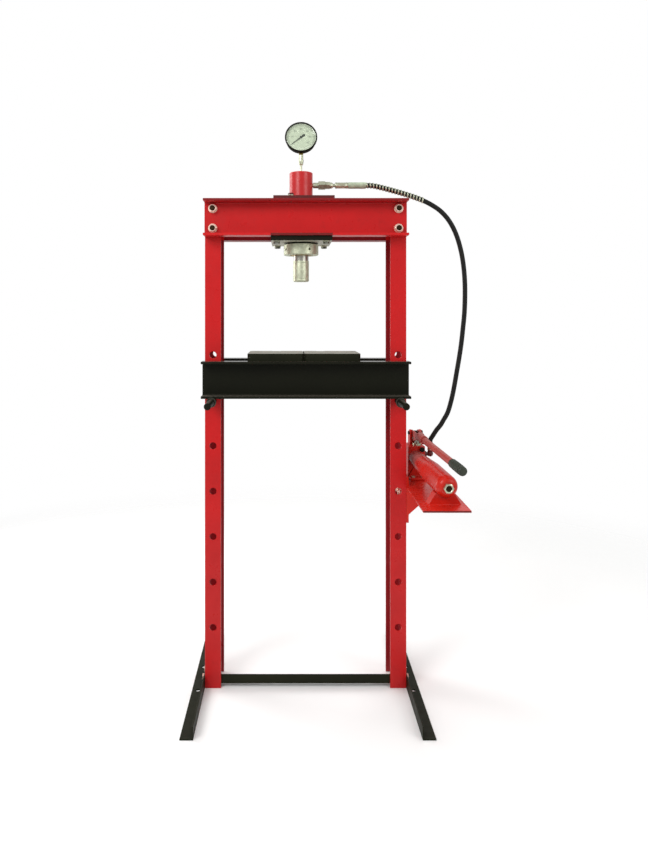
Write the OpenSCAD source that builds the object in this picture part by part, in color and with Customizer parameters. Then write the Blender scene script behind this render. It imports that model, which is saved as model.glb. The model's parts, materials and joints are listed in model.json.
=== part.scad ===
// Workshop hydraulic press: H-frame of rolled channels, bolted head with a
// short cylinder, pinned lift-up bed, pressure gauge, and a hand pump on a
// side bracket that feeds the cylinder through one hose.
// X is the width, -Y the front, +Z up; the origin is on the floor midway
// between the two uprights.

/* [Channel section] */
// Height of the rolled channel section
sec_h = 120; // [100:1:140]
// Width of the channel flanges
sec_b = 53; // [48:1:62]
// Thickness of the channel web
web_t = 5.5; // [4:0.5:8]
// Thickness of the channel flanges
flange_t = 8; // [6:0.5:10]
// Radius where web and flange meet
root_r = 4; // [2:0.5:4]

/* [Frame] */
// Width over the outer faces of the two uprights
frame_w = 665; // [560:5:820]
// Height of the uprights
frame_h = 1605; // [1500:5:1950]
// Distance between the bed pin holes
hole_pitch = 150; // [125:5:180]
// Height of the lowest bed pin hole
hole_low = 200; // [160:5:260]
// Number of bed pin holes in each upright
hole_count = 7; // [5:1:7]
// Diameter of the bed pin holes
hole_d = 23; // [20:0.5:28]
// How far the head stands above the tops of the uprights
head_over = 5; // [0:1:20]
// How far each end of the head stands past the uprights
head_end = 1; // [0:1:20]
// Distance of each head bolt from the head's nearest long edge
head_bolt_edge = 27.5; // [27.5:0.5:34]

/* [Feet] */
// Leg of the angle that makes each foot
foot_leg = 40; // [36:1:60]
// Thickness of the foot angle
foot_t = 4; // [3:0.5:8]
// Length of each foot, front to back
foot_l = 710; // [500:10:900]
// Distance between the two bolts of a foot
foot_bolt_gap = 52; // [40:1:80]
// Distance between the two floor anchor holes of a foot
anchor_gap = 160; // [140:5:400]
// Diameter of the floor anchor holes
anchor_d = 14; // [10:1:16]
// Leg of the angle that ties the two uprights near the floor
cross_leg = 30; // [20:1:40]
// Height of the cross bar's lower edge above the floor
cross_z = 12; // [8:1:60]

/* [Bed] */
// Pin hole that the bed rests at, counted from the lowest as 0
bed_hole = 5; // [2:1:5]
// How far each end of the bed stands past the uprights
bed_end = 7.5; // [2:0.5:60]
// Diameter of the bed pins
pin_d = 22; // [18:0.5:22]
// Length of the bed pins in front of the uprights
pin_front = 168; // [130:5:250]
// Length of the bed pins behind the uprights
pin_rear = 72; // [65:5:120]
// Width of each press plate
plate_w = 184; // [120:1:200]
// Depth of each press plate, front to back
plate_d = 190; // [140:5:220]
// Thickness of the press plates
plate_h = 25; // [15:1:40]

/* [Cylinder] */
// Sideways place of the cylinder
ram_x = -14; // [-20:1:20]
// Outer diameter of the cylinder barrel
barrel_d = 78; // [74:1:84]
// Bore of the cylinder
bore_d = 60; // [58:1:62]
// Height of the barrel above the top plate
barrel_up = 90; // [80:1:140]
// Diameter of the ram
ram_d = 50; // [44:1:50]
// Diameter of the ram nose
nose_d = 53; // [53:1:60]
// Length of the ram nose
nose_l = 70; // [50:1:70]
// Outer diameter of the ring nut
nut_d = 117; // [100:1:130]
// Height of the ring nut
nut_h = 36; // [25:1:45]

/* [Gauge] */
// Diameter of the gauge bezel
gauge_d = 110; // [80:1:120]
// Depth of the gauge case
gauge_t = 34; // [30:1:40]
// Angle that the gauge leans back
gauge_lean = 13; // [0:1:20]
// Direction of the pointer at zero pressure, from the right, anticlockwise
gauge_zero = 219; // [210:1:240]

/* [Hand pump] */
// Width of the bracket's shelf
shelf_w = 140; // [110:5:180]
// Length of the shelf in front of the upright's middle
shelf_front = 362; // [330:1:450]
// Height of the shelf's top
shelf_z = 667; // [620:1:700]
// Thickness of the shelf and its gussets
shelf_t = 6; // [4:0.5:8]
// Outer diameter of the oil reservoir
reservoir_d = 68; // [60:1:72]
// Length of the reservoir without its domed end
reservoir_l = 310; // [280:5:315]
// Diameter of the pump's neck tube
neck_d = 44; // [36:1:46]
// Diameter of the pump plunger
plunger_d = 16; // [12:0.5:16]
// Distance between lever pivot and plunger pin
crank_r = 28; // [24:1:30]
// Length of the lever from its pivot
lever_l = 523; // [450:1:600]
// Diameter of the lever bar
lever_d = 22; // [18:0.5:24]
// Diameter of the rubber grip
grip_d = 27; // [26:0.5:34]
// Length of the rubber grip
grip_l = 96; // [80:1:140]

/* [Hose] */
// Outer diameter of the hose
hose_d = 16; // [13:0.5:16]
// Outer diameter of the spring guard round the hose
guard_d = 20; // [19.5:0.5:22]

/* [Hidden] */
$fn = 48;
// Clearances
fit = 0.05;       // running and slip fits, on the radius
seat = 0.3;       // loose pieces and their seats
bolt_play = 0.5;  // bolt holes, on the radius
slide = 1.5;      // bed channels beside the uprights

// Fasteners: thread, across flats, head height, nut height, washer
M16 = [16, 24, 10, 13, 30, 3];
M12 = [12, 18, 7.5, 10, 24, 2.5];
M10 = [10, 16, 6.4, 8, 20, 2];
M8 = [8, 13, 5.3, 6.5, 16, 1.6];
bolt_end = 5;     // thread standing out of a nut
pin_chamfer = 2;

// Frame
half_w = frame_w / 2;
half_sec = sec_h / 2;
hole_x = half_w - sec_b / 2;
head_l = frame_w + 2 * head_end;
head_z1 = frame_h + head_over;
head_z0 = head_z1 - sec_h;
head_mid = (head_z0 + head_z1) / 2;
head_bolt_gap = sec_h - 2 * head_bolt_edge;
cross_lap = 22;
cross_l = frame_w - 2 * (sec_b - cross_lap);
anchor_x = half_w + foot_leg / 2;
foot_bolt_z = foot_leg / 2 + 3;

// Bed
pin_z = hole_low + bed_hole * hole_pitch - (hole_d - pin_d) / 2 + seat;
bed_z0 = pin_z + pin_d / 2 + seat;
bed_z1 = bed_z0 + sec_h;
bed_y = half_sec + slide;
bed_l = frame_w + 2 * bed_end;
spacer_x = half_w - sec_b - 30;
spacer_t = 12;
spacer_edge = 10;
plates_x = ram_x + 8;
plate_gap = 1;
plate_bevel = 8;
plate_notch_w = 30;
plate_notch_d = 12;
washer_in = bed_y + sec_b + seat;

// Head plates
top_plate_x = ram_x + 8;
head_plate_w = 200;
top_plate_d = 190;
top_plate_t = 12;
bottom_plate_d = 210;
bottom_plate_t = 16;
plate_bolt_x = 81;
plate_bolt_y = half_sec + web_t + 20;
small_bolt_x = 35;

// Cylinder
top_z = head_z1 + top_plate_t;
bottom_z = head_z0 - bottom_plate_t;
barrel_z1 = top_z + barrel_up;
lock_d = 112;
lock_h = 5;
ring_z1 = bottom_z - lock_h;
ring_z0 = ring_z1 - nut_h;
barrel_z0 = ring_z0 + 4;
barrel_edge = 2;
oil_r = 3;
nut_bevel = 2.5;
spanner_d = 8;
spanner_depth = 10;
spanner_angle = 62;
cap_t = 14;
gland_h = 30;
gland_lip_h = 5;
gland_lip_d = 68;
piston_h = 28;
piston_z1 = barrel_z1 - cap_t - 44;
seal_h = 8;
seal_depth = 3.5;
rod_bore_d = 34;
neck_r = ram_d / 2 - 3;
nose_z0 = barrel_z0 - gland_lip_h - 18 - nose_l;
nose_floor = 19;
rod_floor = 14;
nose_bevel = 3;
rod_z0 = nose_z0 + nose_floor;
anchor_r = 10.7;
anchor_l = 24;
spring_wire = 4;
spring_r = anchor_r + seat + spring_wire / 2;
spring_turns = 30;
port_z = barrel_z1 - 42;

// Gauge: stem, adapter and the leaning instrument
stem_r = 3.5;
stem_seat = 8;
adapter_r = 8.5;
adapter_z0 = barrel_z1 + 27;
adapter_z1 = adapter_z0 + 34;
gauge_neck = 5.5;
gauge_r = gauge_d / 2;
case_r = gauge_r - 4;
case_wall = 2;
bezel_t = 10;
lip_t = 2;
lens_t = 2;
case_t = gauge_t - lip_t - lens_t;
dial_t = 1.2;
dial_z = case_t - 4;
arbor_r = 1.5;
socket_w = 14;
socket_t = 10;
tube_r = 30;
gauge_drop = gauge_r + gauge_neck;
gauge_z = adapter_z1 + gauge_drop * cos(gauge_lean);
gauge_y = gauge_drop * sin(gauge_lean);

// Pump: its own frame is turned outward and dips to the front; the lever,
// the plunger and the ears stand beside the reservoir's axis
pump_out = 45.5;
pump_back = 71;
pump_up = 77;
pump_at = [half_w + pump_out, pump_back, shelf_z + pump_up];
pump_yaw = 4.9;
pump_dip = 2.8;
lever_x = 11;
bracket_t = 8;
bracket_z0 = shelf_z - 121;
bracket_top = shelf_z + 30;
shelf_rear = 118;
gusset_l = 100;
gusset_h = 88;
gusset_y = half_sec - shelf_t;
bracket_bolt_y = 22;
bracket_bolt_z = [shelf_z - 87, shelf_z - 31];
head_x0 = -24;
head_x1 = lever_x + 24;
head_front = -22;
head_rear = 42;
head_top = 36;
base_t = 9;
base_in = 2;
base_front = head_front - 30;
gland_l = 8;
gland_seat = 6;
gland_d = 30;
gland_thread_d = 22;
ear_t = 8;
ear_in = 13;
ear_r = 12;
ear_wall = 6.5;
ear_wall_over = 4;  // above the pivot
pivot_y = 24;
pivot_z = 74;
pivot_r = 6;
pin2_r = 4;
rest_angle = 30;
cheek_t = 3.5;
cheek_in = plunger_d / 2 + 0.7;
pin2_y = pivot_y - crank_r * cos(rest_angle);
pin2_z = pivot_z - crank_r * sin(rest_angle);
plunger_y = pivot_y - crank_r * (1 + cos(rest_angle)) / 2;
slot_play = 0.8;
slot_y = crank_r * (1 - cos(rest_angle)) / 2;
eye_h = 20;
eye_l = 22;
plunger_z0 = -20;
bore_floor = -26;
socket_front = -100;
socket_rear = -36;
socket_r = lever_d / 2 + 3;
lever_front = pivot_y - lever_l;
grip_end = 18;
neck_l = 60;
neck_end = head_front - neck_l;
neck_wall = 6;
collar_l = 14;
collar_t = 3;
taper_l = 150;
reservoir_r = reservoir_d / 2;
reservoir_wall = 3;
reservoir_y1 = neck_end + collar_l;
dome_l = 24;
reservoir_y0 = reservoir_y1 - reservoir_l - dome_l;
dome_r = 17;
vent_r = 10;
vent_af = 27;
vent_l = 9;
saddle_y = reservoir_y0 + dome_l + 24;
saddle_l = 34;
saddle_top_w = 58;
saddle_foot_w = 100;
saddle_lap = 0.7;
valve_x = 22;
valve_z = 27;
valve_r = 4;
valve_seat = 10;
knob_d = 17;
knob_l = 16;
outlet_x = 58;
outlet_y = -6;
outlet_z = 6;

// Hose fittings at the cylinder, then the route of the hose's centre line
fitting_r = 6;
nipple_l = 19;
hex1_l = 24;
hex2_l = 25;
shank_l = 8;
nipple_x1 = ram_x + barrel_d / 2 + nipple_l;
hex1_x1 = nipple_x1 + hex1_l;
hex2_x1 = hex1_x1 + hex2_l;
ferrule_r = 10.5;
ferrule_l = 44;
ferrule_x0 = hex2_x1 + shank_l;
ferrule_x1 = ferrule_x0 + ferrule_l;
sleeve_l = 61;
sleeve_x1 = ferrule_x1 + sleeve_l;
elbow_r = 10;
elbow_top = outlet_z + 13;
ferrule2_l = 22;
hose_foot = elbow_top + ferrule2_l;
joint_gap = 0.1;

// World place of a point of the pump's frame, and of a point on the shelf
// that is turned with the pump
function shelf_point(x, y) = [
    pump_at[0] + x * cos(pump_yaw) - y * sin(pump_yaw),
    pump_at[1] + x * sin(pump_yaw) + y * cos(pump_yaw)
];
head_bolt_at = [shelf_point(head_x0 + 12, base_front + 13), shelf_point(head_x1 - 12, base_front + 13)];
function pump_point(p) =
    let (
        y = p[1] * cos(pump_dip) - p[2] * sin(pump_dip),
        z = p[1] * sin(pump_dip) + p[2] * cos(pump_dip)
    )
        pump_at + [
            p[0] * cos(pump_yaw) - y * sin(pump_yaw),
            p[0] * sin(pump_yaw) + y * cos(pump_yaw),
            z
        ];

route = [
    [sleeve_x1 + joint_gap, 0, port_z], [sleeve_x1 + 10, 0, port_z],
    [235, 0, 1668], [265, 0, 1661], [295, 0, 1653], [330, 0, 1643], [365, 1, 1632],
    [400, 2, 1619], [430, 4, 1604], [457, 6, 1586], [480, 8, 1563], [498, 10, 1537],
    [513, 13, 1507], [525, 16, 1473], [535, 19, 1433], [542, 22, 1388], [546, 25, 1340],
    [547, 28, 1290], [546, 32, 1238], [542, 36, 1186], [537, 39, 1134], [530, 42, 1082],
    [522, 46, 1030], [514, 49, 980], [505, 52, 935], [494, 56, 895], [480, 59, 868],
    [470, 61, 850], [457, 64, 833], [446, 66, 815],
    pump_point([outlet_x, outlet_y, hose_foot + 14]),
    pump_point([outlet_x, outlet_y, hose_foot + joint_gap])
];
guard_rings = 8;
tube_sides = 10;

red = "#c4242a";
dull_red = "#b4544e";
dark_red = "#701818";
black = "#1c1d18";
dark_grey = "#32342a";
zinc = "#b9b59a";
steel = "#8f9290";
brass = "#b59a4a";
rubber = "#20211e";

// ---- shared shapes ------------------------------------------------------

// Rolled channel: web on x = 0, flanges towards +x, height along y
module section() {
    difference() {
        square([sec_b, sec_h]);
        translate([web_t, flange_t]) square([sec_b, sec_h - 2 * flange_t]);
    }
    for (m = [0, 1])
        translate([web_t, m * sec_h])
            mirror([0, m])
                translate([0, flange_t])
                    difference() {
                        square(root_r);
                        translate([root_r, root_r]) circle(root_r);
                    }
}

module channel(len) {
    linear_extrude(len) section();
}

// Channel lying along X, its web on y = 0 and its flanges towards -y
module beam(len) {
    rotate([90, 0, -90])
        translate([0, 0, -len / 2])
            channel(len);
}

// Cylinder along Y through y = 0
module bar_y(d, len) {
    rotate([90, 0, 0]) cylinder(d = d, h = len, center = true);
}

// Cylinder along X through x = 0
module bar_x(d, len) {
    rotate([0, 90, 0]) cylinder(d = d, h = len, center = true);
}

module hex(af, h) {
    cylinder(d = af / cos(30), h = h, $fn = 6);
}

module washer(m) {
    difference() {
        cylinder(d = m[4], h = m[5]);
        translate([0, 0, -1]) cylinder(d = m[0] + 1, h = m[5] + 2);
    }
}

module nut(m) {
    difference() {
        hex(m[1], m[3]);
        translate([0, 0, -1]) cylinder(d = m[0], h = m[3] + 2);
    }
}

// Bolt, washer and nut that clamp a pack of the given thickness: the head
// lies below z = 0, the washer and the nut above the pack
module bolt_solids(m, pack) {
    union() {
        translate([0, 0, -m[2]]) hex(m[1], m[2]);
        cylinder(d = m[0] - 2 * fit, h = pack + m[5] + m[3] + bolt_end);
    }
    translate([0, 0, pack]) washer(m);
    translate([0, 0, pack + m[5]]) nut(m);
}

// Bolt and washer under a pack of the given thickness that starts at z = 0;
// the thread ends flush in a tapped hole
module tapped_bolt(m, pack) {
    translate([0, 0, -m[5]]) {
        union() {
            translate([0, 0, -m[2]]) hex(m[1], m[2]);
            cylinder(d = m[0] - 2 * fit, h = m[5] + pack);
        }
        washer(m);
    }
}

// Tube swept along a list of points: rings of points, then faces
function unit(v) = v / norm(v);
function tangent(p, i) =
    unit(p[min(i + 1, len(p) - 1)] - p[max(i - 1, 0)]);
function side(t) = unit(cross(t, [0, 1, 0]));
function ring(c, t, r, n) = [
    for (k = [0 : n - 1])
        let (u = side(t), w = cross(t, u), a = 360 * k / n)
            c + r * (cos(a) * u + sin(a) * w)
];
function rings(p, r, n) = [
    for (i = [0 : len(p) - 1]) each ring(p[i], tangent(p, i), r, n)
];
function skin(m, n, from = 0, out = true) = [
    for (i = [0 : m - 2], k = [0 : n - 1])
        let (
            a = from + i * n + k,
            b = from + i * n + (k + 1) % n,
            c = from + (i + 1) * n + (k + 1) % n,
            d = from + (i + 1) * n + k
        )
            out ? [a, b, c, d] : [d, c, b, a]
];

module tube(p, d, n) {
    m = len(p);
    polyhedron(
        points = rings(p, d / 2, n),
        faces = concat(
            skin(m, n),
            [[for (k = [n - 1 : -1 : 0]) k]],
            [[for (k = [0 : n - 1]) (m - 1) * n + k]]
        )
    );
}

// The same tube with a hole along it
module sleeve_tube(p, d, d_in, n) {
    m = len(p);
    from = m * n;
    polyhedron(
        points = concat(rings(p, d / 2, n), rings(p, d_in / 2, n)),
        faces = concat(
            skin(m, n),
            skin(m, n, from, false),
            [for (k = [0 : n - 1]) [k, from + k, from + (k + 1) % n, (k + 1) % n]],
            [
                for (k = [0 : n - 1])
                    let (a = (m - 1) * n + k, b = (m - 1) * n + (k + 1) % n)
                        [a, b, from + b, from + a]
            ]
        )
    );
}

// ---- frame --------------------------------------------------------------

module upright(s) {
    difference() {
        translate([s * half_w, -half_sec, 0])
            mirror([s > 0 ? 1 : 0, 0, 0])
                channel(frame_h);
        for (i = [0 : hole_count - 1])
            translate([s * hole_x, 0, hole_low + i * hole_pitch])
                bar_y(hole_d, sec_h + 2);
        for (z = [-1, 1])
            translate([s * hole_x, 0, head_mid + z * head_bolt_gap / 2])
                bar_y(M16[0] + 2 * bolt_play, sec_h + 2);
        for (y = [-1, 1])
            translate([s * half_w, y * foot_bolt_gap / 2, foot_bolt_z])
                bar_x(M12[0] + 2 * bolt_play, 4 * web_t);
        if (s > 0)
            for (y = [-1, 1], z = bracket_bolt_z)
                translate([half_w, y * bracket_bolt_y, z])
                    bar_x(M12[0] + 2 * bolt_play, 4 * web_t);
    }
}

module upright_left() {
    color(red) upright(-1);
}

module upright_right() {
    color(red) upright(1);
}

// Channel of the head: s = -1 the front one, s = 1 the rear one
module head_channel(s) {
    difference() {
        mirror([0, s > 0 ? 1 : 0, 0])
            translate([0, -half_sec, head_z0])
                beam(head_l);
        for (x = [-1, 1], z = [-1, 1])
            translate([x * hole_x, s * half_sec, head_mid + z * head_bolt_gap / 2])
                bar_y(M16[0] + 2 * bolt_play, 4 * web_t);
        for (x = [-1, 1])
            translate([ram_x + x * plate_bolt_x, s * plate_bolt_y, head_z0 - 1])
                cylinder(d = M12[0], h = flange_t + 2);
        translate([ram_x + s * small_bolt_x, s * plate_bolt_y, head_z1 - flange_t - 1])
            cylinder(d = M10[0], h = flange_t + 2);
    }
}

module head_channel_front() {
    color(red) head_channel(-1);
}

module head_channel_rear() {
    color(red) head_channel(1);
}

// Eight bolts: heads inside the uprights, nuts on the head channels
module head_bolt_sets() {
    color(zinc)
        for (y = [0, 1], x = [-1, 1], z = [-1, 1])
            mirror([0, y, 0])
                translate([x * hole_x, flange_t - half_sec, head_mid + z * head_bolt_gap / 2])
                    rotate([90, 0, 0])
                        bolt_solids(M16, flange_t + web_t);
}

module foot(s) {
    mirror([s > 0 ? 0 : 1, 0, 0])
        difference() {
            union() {
                translate([half_w, -foot_l / 2, 0]) cube([foot_t, foot_l, foot_leg]);
                translate([half_w, -foot_l / 2, 0]) cube([foot_leg, foot_l, foot_t]);
            }
            for (y = [-1, 1]) {
                translate([half_w, y * foot_bolt_gap / 2, foot_bolt_z])
                    bar_x(M12[0] + 2 * bolt_play, 4 * foot_t);
                translate([anchor_x, y * anchor_gap / 2, -1])
                    cylinder(d = anchor_d, h = foot_t + 2);
            }
        }
}

module foot_left() {
    color(dark_grey) foot(-1);
}

module foot_right() {
    color(dark_grey) foot(1);
}

// Bolts of one size that hold the feet and the pump bracket to the uprights;
// every head is outside and every nut inside the upright
module m12_bolt_sets() {
    color(zinc) {
        for (x = [0, 1], y = [-1, 1])
            mirror([x, 0, 0])
                translate([half_w + foot_t, y * foot_bolt_gap / 2, foot_bolt_z])
                    rotate([0, -90, 0])
                        bolt_solids(M12, foot_t + web_t);
        for (y = [-1, 1], z = bracket_bolt_z)
            translate([half_w + bracket_t, y * bracket_bolt_y, z])
                rotate([0, -90, 0])
                    bolt_solids(M12, bracket_t + web_t);
    }
}

// Angle welded behind the front flanges of the two uprights
module cross_bar() {
    color(black)
        translate([-cross_l / 2, flange_t - half_sec, cross_z]) {
            cube([cross_l, foot_t, cross_leg]);
            cube([cross_l, cross_leg, foot_t]);
        }
}

// ---- head plates --------------------------------------------------------

module top_plate() {
    color(dark_red)
        difference() {
            translate([top_plate_x - head_plate_w / 2, -top_plate_d / 2, head_z1])
                cube([head_plate_w, top_plate_d, top_plate_t]);
            translate([ram_x, 0, head_z1 - 1])
                cylinder(d = barrel_d + 2 * fit, h = top_plate_t + 2);
            for (s = [-1, 1])
                translate([ram_x + s * small_bolt_x, s * plate_bolt_y, head_z1 - 1])
                    cylinder(d = M10[0] + 2 * bolt_play, h = top_plate_t + 2);
        }
}

module bottom_plate() {
    color(black)
        difference() {
            translate([ram_x - head_plate_w / 2, -bottom_plate_d / 2, bottom_z])
                cube([head_plate_w, bottom_plate_d, bottom_plate_t]);
            translate([ram_x, 0, bottom_z - 1])
                cylinder(d = barrel_d + 2 * fit, h = bottom_plate_t + 2);
            for (x = [-1, 1], y = [-1, 1])
                translate([ram_x + x * plate_bolt_x, y * plate_bolt_y, bottom_z - 1])
                    cylinder(d = M12[0] + 2 * bolt_play, h = bottom_plate_t + 2);
        }
}

// Four bolts hold the bottom plate and two the top plate, all tapped into
// the flanges of the head channels
module plate_bolt_sets() {
    color(zinc) {
        for (x = [-1, 1], y = [-1, 1])
            translate([ram_x + x * plate_bolt_x, y * plate_bolt_y, bottom_z])
                tapped_bolt(M12, flange_t + bottom_plate_t);
        for (s = [-1, 1])
            translate([ram_x + s * small_bolt_x, s * plate_bolt_y, top_z])
                rotate([180, 0, 0])
                    tapped_bolt(M10, flange_t + top_plate_t);
    }
}

// ---- bed ----------------------------------------------------------------

module bed_channel_front() {
    color(black) translate([0, -bed_y, bed_z0]) beam(bed_l);
}

module bed_channel_rear() {
    color(black) mirror([0, 1, 0]) translate([0, -bed_y, bed_z0]) beam(bed_l);
}

// Two plates welded between the bed channels, just inside the uprights
module bed_spacers() {
    color(black)
        for (s = [-1, 1])
            translate([s * spacer_x - spacer_t / 2, -bed_y, bed_z0 + spacer_edge])
                cube([spacer_t, 2 * bed_y, sec_h - 2 * spacer_edge]);
}

// Plain bar with bevelled ends through both flanges of an upright, and the
// washer that stops it at the bed's front flange
module bed_pin(s) {
    l = sec_h + pin_front + pin_rear;
    translate([s * hole_x, -half_sec - pin_front, pin_z])
        rotate([-90, 0, 0]) {
            cylinder(d1 = pin_d - 2 * pin_chamfer, d2 = pin_d, h = pin_chamfer);
            translate([0, 0, pin_chamfer])
                cylinder(d = pin_d, h = l - 2 * pin_chamfer);
            translate([0, 0, l - pin_chamfer])
                cylinder(d1 = pin_d, d2 = pin_d - 2 * pin_chamfer, h = pin_chamfer);
        }
    translate([s * hole_x, -washer_in, pin_z])
        rotate([90, 0, 0])
            difference() {
                cylinder(d = pin_d + 10, h = 3);
                translate([0, 0, -1]) cylinder(d = pin_d + 2 * fit, h = 5);
            }
}

module bed_pin_left() {
    color(black) bed_pin(-1);
}

module bed_pin_right() {
    color(black) bed_pin(1);
}

// Press plate with bevelled corners and a notch in its rear edge; its left
// edge is at x = 0
module press_plate(notch_x) {
    b = plate_bevel;
    y0 = -plate_d / 2;
    y1 = plate_d / 2;
    translate([0, 0, bed_z1])
        linear_extrude(plate_h)
            difference() {
                polygon([
                    [b, y0], [plate_w - b, y0], [plate_w, y0 + b], [plate_w, y1 - b],
                    [plate_w - b, y1], [b, y1], [0, y1 - b], [0, y0 + b]
                ]);
                translate([notch_x - plate_notch_w / 2, y1 - plate_notch_d])
                    square([plate_notch_w, plate_notch_d + 1]);
            }
}

module press_plate_left() {
    color(dark_grey)
        translate([plates_x - plate_gap / 2 - plate_w, 0, 0])
            press_plate(plate_w / 2);
}

module press_plate_right() {
    color(dark_grey)
        translate([plates_x + plate_gap / 2, 0, 0])
            press_plate(plate_w / 3);
}

// ---- cylinder -----------------------------------------------------------

// Barrel closed at the top; a boss under the cap holds the return spring
module cylinder_barrel() {
    color(red)
        translate([ram_x, 0, 0])
            difference() {
                union() {
                    difference() {
                        union() {
                            translate([0, 0, barrel_z0])
                                cylinder(d = barrel_d, h = barrel_z1 - barrel_z0 - barrel_edge);
                            translate([0, 0, barrel_z1 - barrel_edge])
                                cylinder(d1 = barrel_d, d2 = barrel_d - 2 * barrel_edge, h = barrel_edge);
                        }
                        translate([0, 0, barrel_z0 - 1])
                            cylinder(d = bore_d, h = barrel_z1 - cap_t - barrel_z0 + 1);
                    }
                    translate([0, 0, barrel_z1 - cap_t - anchor_l])
                        cylinder(r = anchor_r, h = anchor_l + 1);
                }
                translate([0, 0, barrel_z1 - cap_t - anchor_l - 1])
                    cylinder(r = oil_r, h = cap_t + anchor_l + 2);
                translate([0, 0, barrel_z1 - stem_seat])
                    cylinder(r = stem_r + fit, h = stem_seat + 1);
                translate([bore_d / 2 - 1, 0, port_z])
                    rotate([0, 90, 0])
                        cylinder(r = fitting_r + fit, h = barrel_d);
            }
}

// Round nut on the barrel's thread, with four holes for a pin spanner
module ring_nut() {
    color(zinc)
        translate([ram_x, 0, ring_z0])
            difference() {
                union() {
                    cylinder(d1 = nut_d - 2 * nut_bevel, d2 = nut_d, h = nut_bevel);
                    translate([0, 0, nut_bevel])
                        cylinder(d = nut_d, h = nut_h - nut_bevel);
                }
                translate([0, 0, -1]) cylinder(d = barrel_d + 2 * fit, h = nut_h + 2);
                for (a = [0 : 90 : 270])
                    rotate([0, 0, a - spanner_angle])
                        translate([nut_d / 2 - spanner_depth, 0, nut_h / 2])
                            rotate([0, 90, 0])
                                cylinder(d = spanner_d, h = spanner_depth + 1);
            }
}

module lock_ring() {
    color(steel)
        translate([ram_x, 0, ring_z1])
            difference() {
                cylinder(d = lock_d, h = lock_h);
                translate([0, 0, -1]) cylinder(d = barrel_d + 2 * fit, h = lock_h + 2);
            }
}

// Bush that guides the ram at the mouth of the barrel
module gland_bush() {
    color(brass)
        translate([ram_x, 0, barrel_z0])
            difference() {
                union() {
                    cylinder(d = bore_d - 2 * fit, h = gland_h);
                    translate([0, 0, -gland_lip_h]) cylinder(d = gland_lip_d, h = gland_lip_h);
                }
                translate([0, 0, -gland_lip_h - 1])
                    cylinder(d = ram_d + 2 * fit, h = gland_h + gland_lip_h + 2);
            }
}

module piston() {
    color(steel)
        translate([ram_x, 0, piston_z1 - piston_h])
            difference() {
                cylinder(d = bore_d - 2 * fit, h = piston_h);
                translate([0, 0, -1]) cylinder(r = neck_r + fit, h = piston_h + 2);
                translate([0, 0, (piston_h - seal_h) / 2])
                    difference() {
                        cylinder(d = bore_d + 2, h = seal_h);
                        translate([0, 0, -1])
                            cylinder(d = bore_d - 2 * seal_depth, h = seal_h + 2);
                    }
            }
}

module piston_seal() {
    color(rubber)
        translate([ram_x, 0, piston_z1 - (piston_h + seal_h) / 2 + fit])
            difference() {
                cylinder(d = bore_d - 2 * fit, h = seal_h - 2 * fit);
                translate([0, 0, -1])
                    cylinder(d = bore_d - 2 * seal_depth + 2 * fit, h = seal_h + 2);
            }
}

// Hollow rod, closed below; the piston sits on its reduced upper end and
// the boss inside holds the lower end of the return spring
module ram_rod() {
    z1 = piston_z1 - piston_h;
    color(steel)
        translate([ram_x, 0, 0])
            union() {
                difference() {
                    union() {
                        translate([0, 0, rod_z0]) cylinder(d = ram_d, h = z1 - rod_z0);
                        translate([0, 0, z1 - 1]) cylinder(r = neck_r, h = piston_h + 3);
                    }
                    translate([0, 0, rod_z0 + rod_floor])
                        cylinder(d = rod_bore_d, h = piston_z1);
                }
                translate([0, 0, rod_z0 + rod_floor - 1])
                    cylinder(r = anchor_r, h = anchor_l + 1);
            }
}

// Hardened cup on the end of the rod
module ram_nose() {
    color(zinc)
        translate([ram_x, 0, nose_z0])
            difference() {
                union() {
                    cylinder(d1 = nose_d - 2 * nose_bevel, d2 = nose_d, h = nose_bevel);
                    translate([0, 0, nose_bevel]) cylinder(d = nose_d, h = nose_l - nose_bevel);
                }
                translate([0, 0, nose_floor]) cylinder(d = ram_d + 2 * fit, h = nose_l);
            }
}

// Round wire wound up from z0 to z1, as rings of points along a helix
module coil(r, wire, z0, z1, turns, per_turn, n) {
    m = turns * per_turn + 1;
    polyhedron(
        points = [
            for (i = [0 : m - 1], k = [0 : n - 1])
                let (
                    a = 360 * i / per_turn,
                    b = 360 * k / n,
                    q = r + wire / 2 * cos(b)
                )
                    [q * cos(a), q * sin(a), z0 + (z1 - z0) * i / (m - 1) + wire / 2 * sin(b)]
        ],
        faces = concat(
            skin(m, n, 0, false),
            [[for (k = [0 : n - 1]) k]],
            [[for (k = [n - 1 : -1 : 0]) (m - 1) * n + k]]
        )
    );
}

module return_spring() {
    color(steel)
        translate([ram_x, 0, 0])
            coil(
                spring_r,
                spring_wire,
                rod_z0 + rod_floor + spring_wire,
                barrel_z1 - cap_t - spring_wire,
                spring_turns,
                16,
                6
            );
}

// ---- gauge --------------------------------------------------------------

// Places the gauge's own frame: z out of the dial, y up its face, origin at
// the middle of the case's back
module gauge_frame() {
    translate([ram_x, gauge_y, gauge_z])
        rotate([90 - gauge_lean, 0, 0])
            translate([0, 0, -gauge_t / 2])
                children();
}

module gauge_stem() {
    color(steel)
        translate([ram_x, 0, barrel_z1 - stem_seat])
            difference() {
                cylinder(r = stem_r, h = adapter_z0 + stem_seat - barrel_z1 + stem_seat);
                translate([0, 0, -1]) cylinder(r = oil_r - 1, h = adapter_z1);
            }
}

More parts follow.
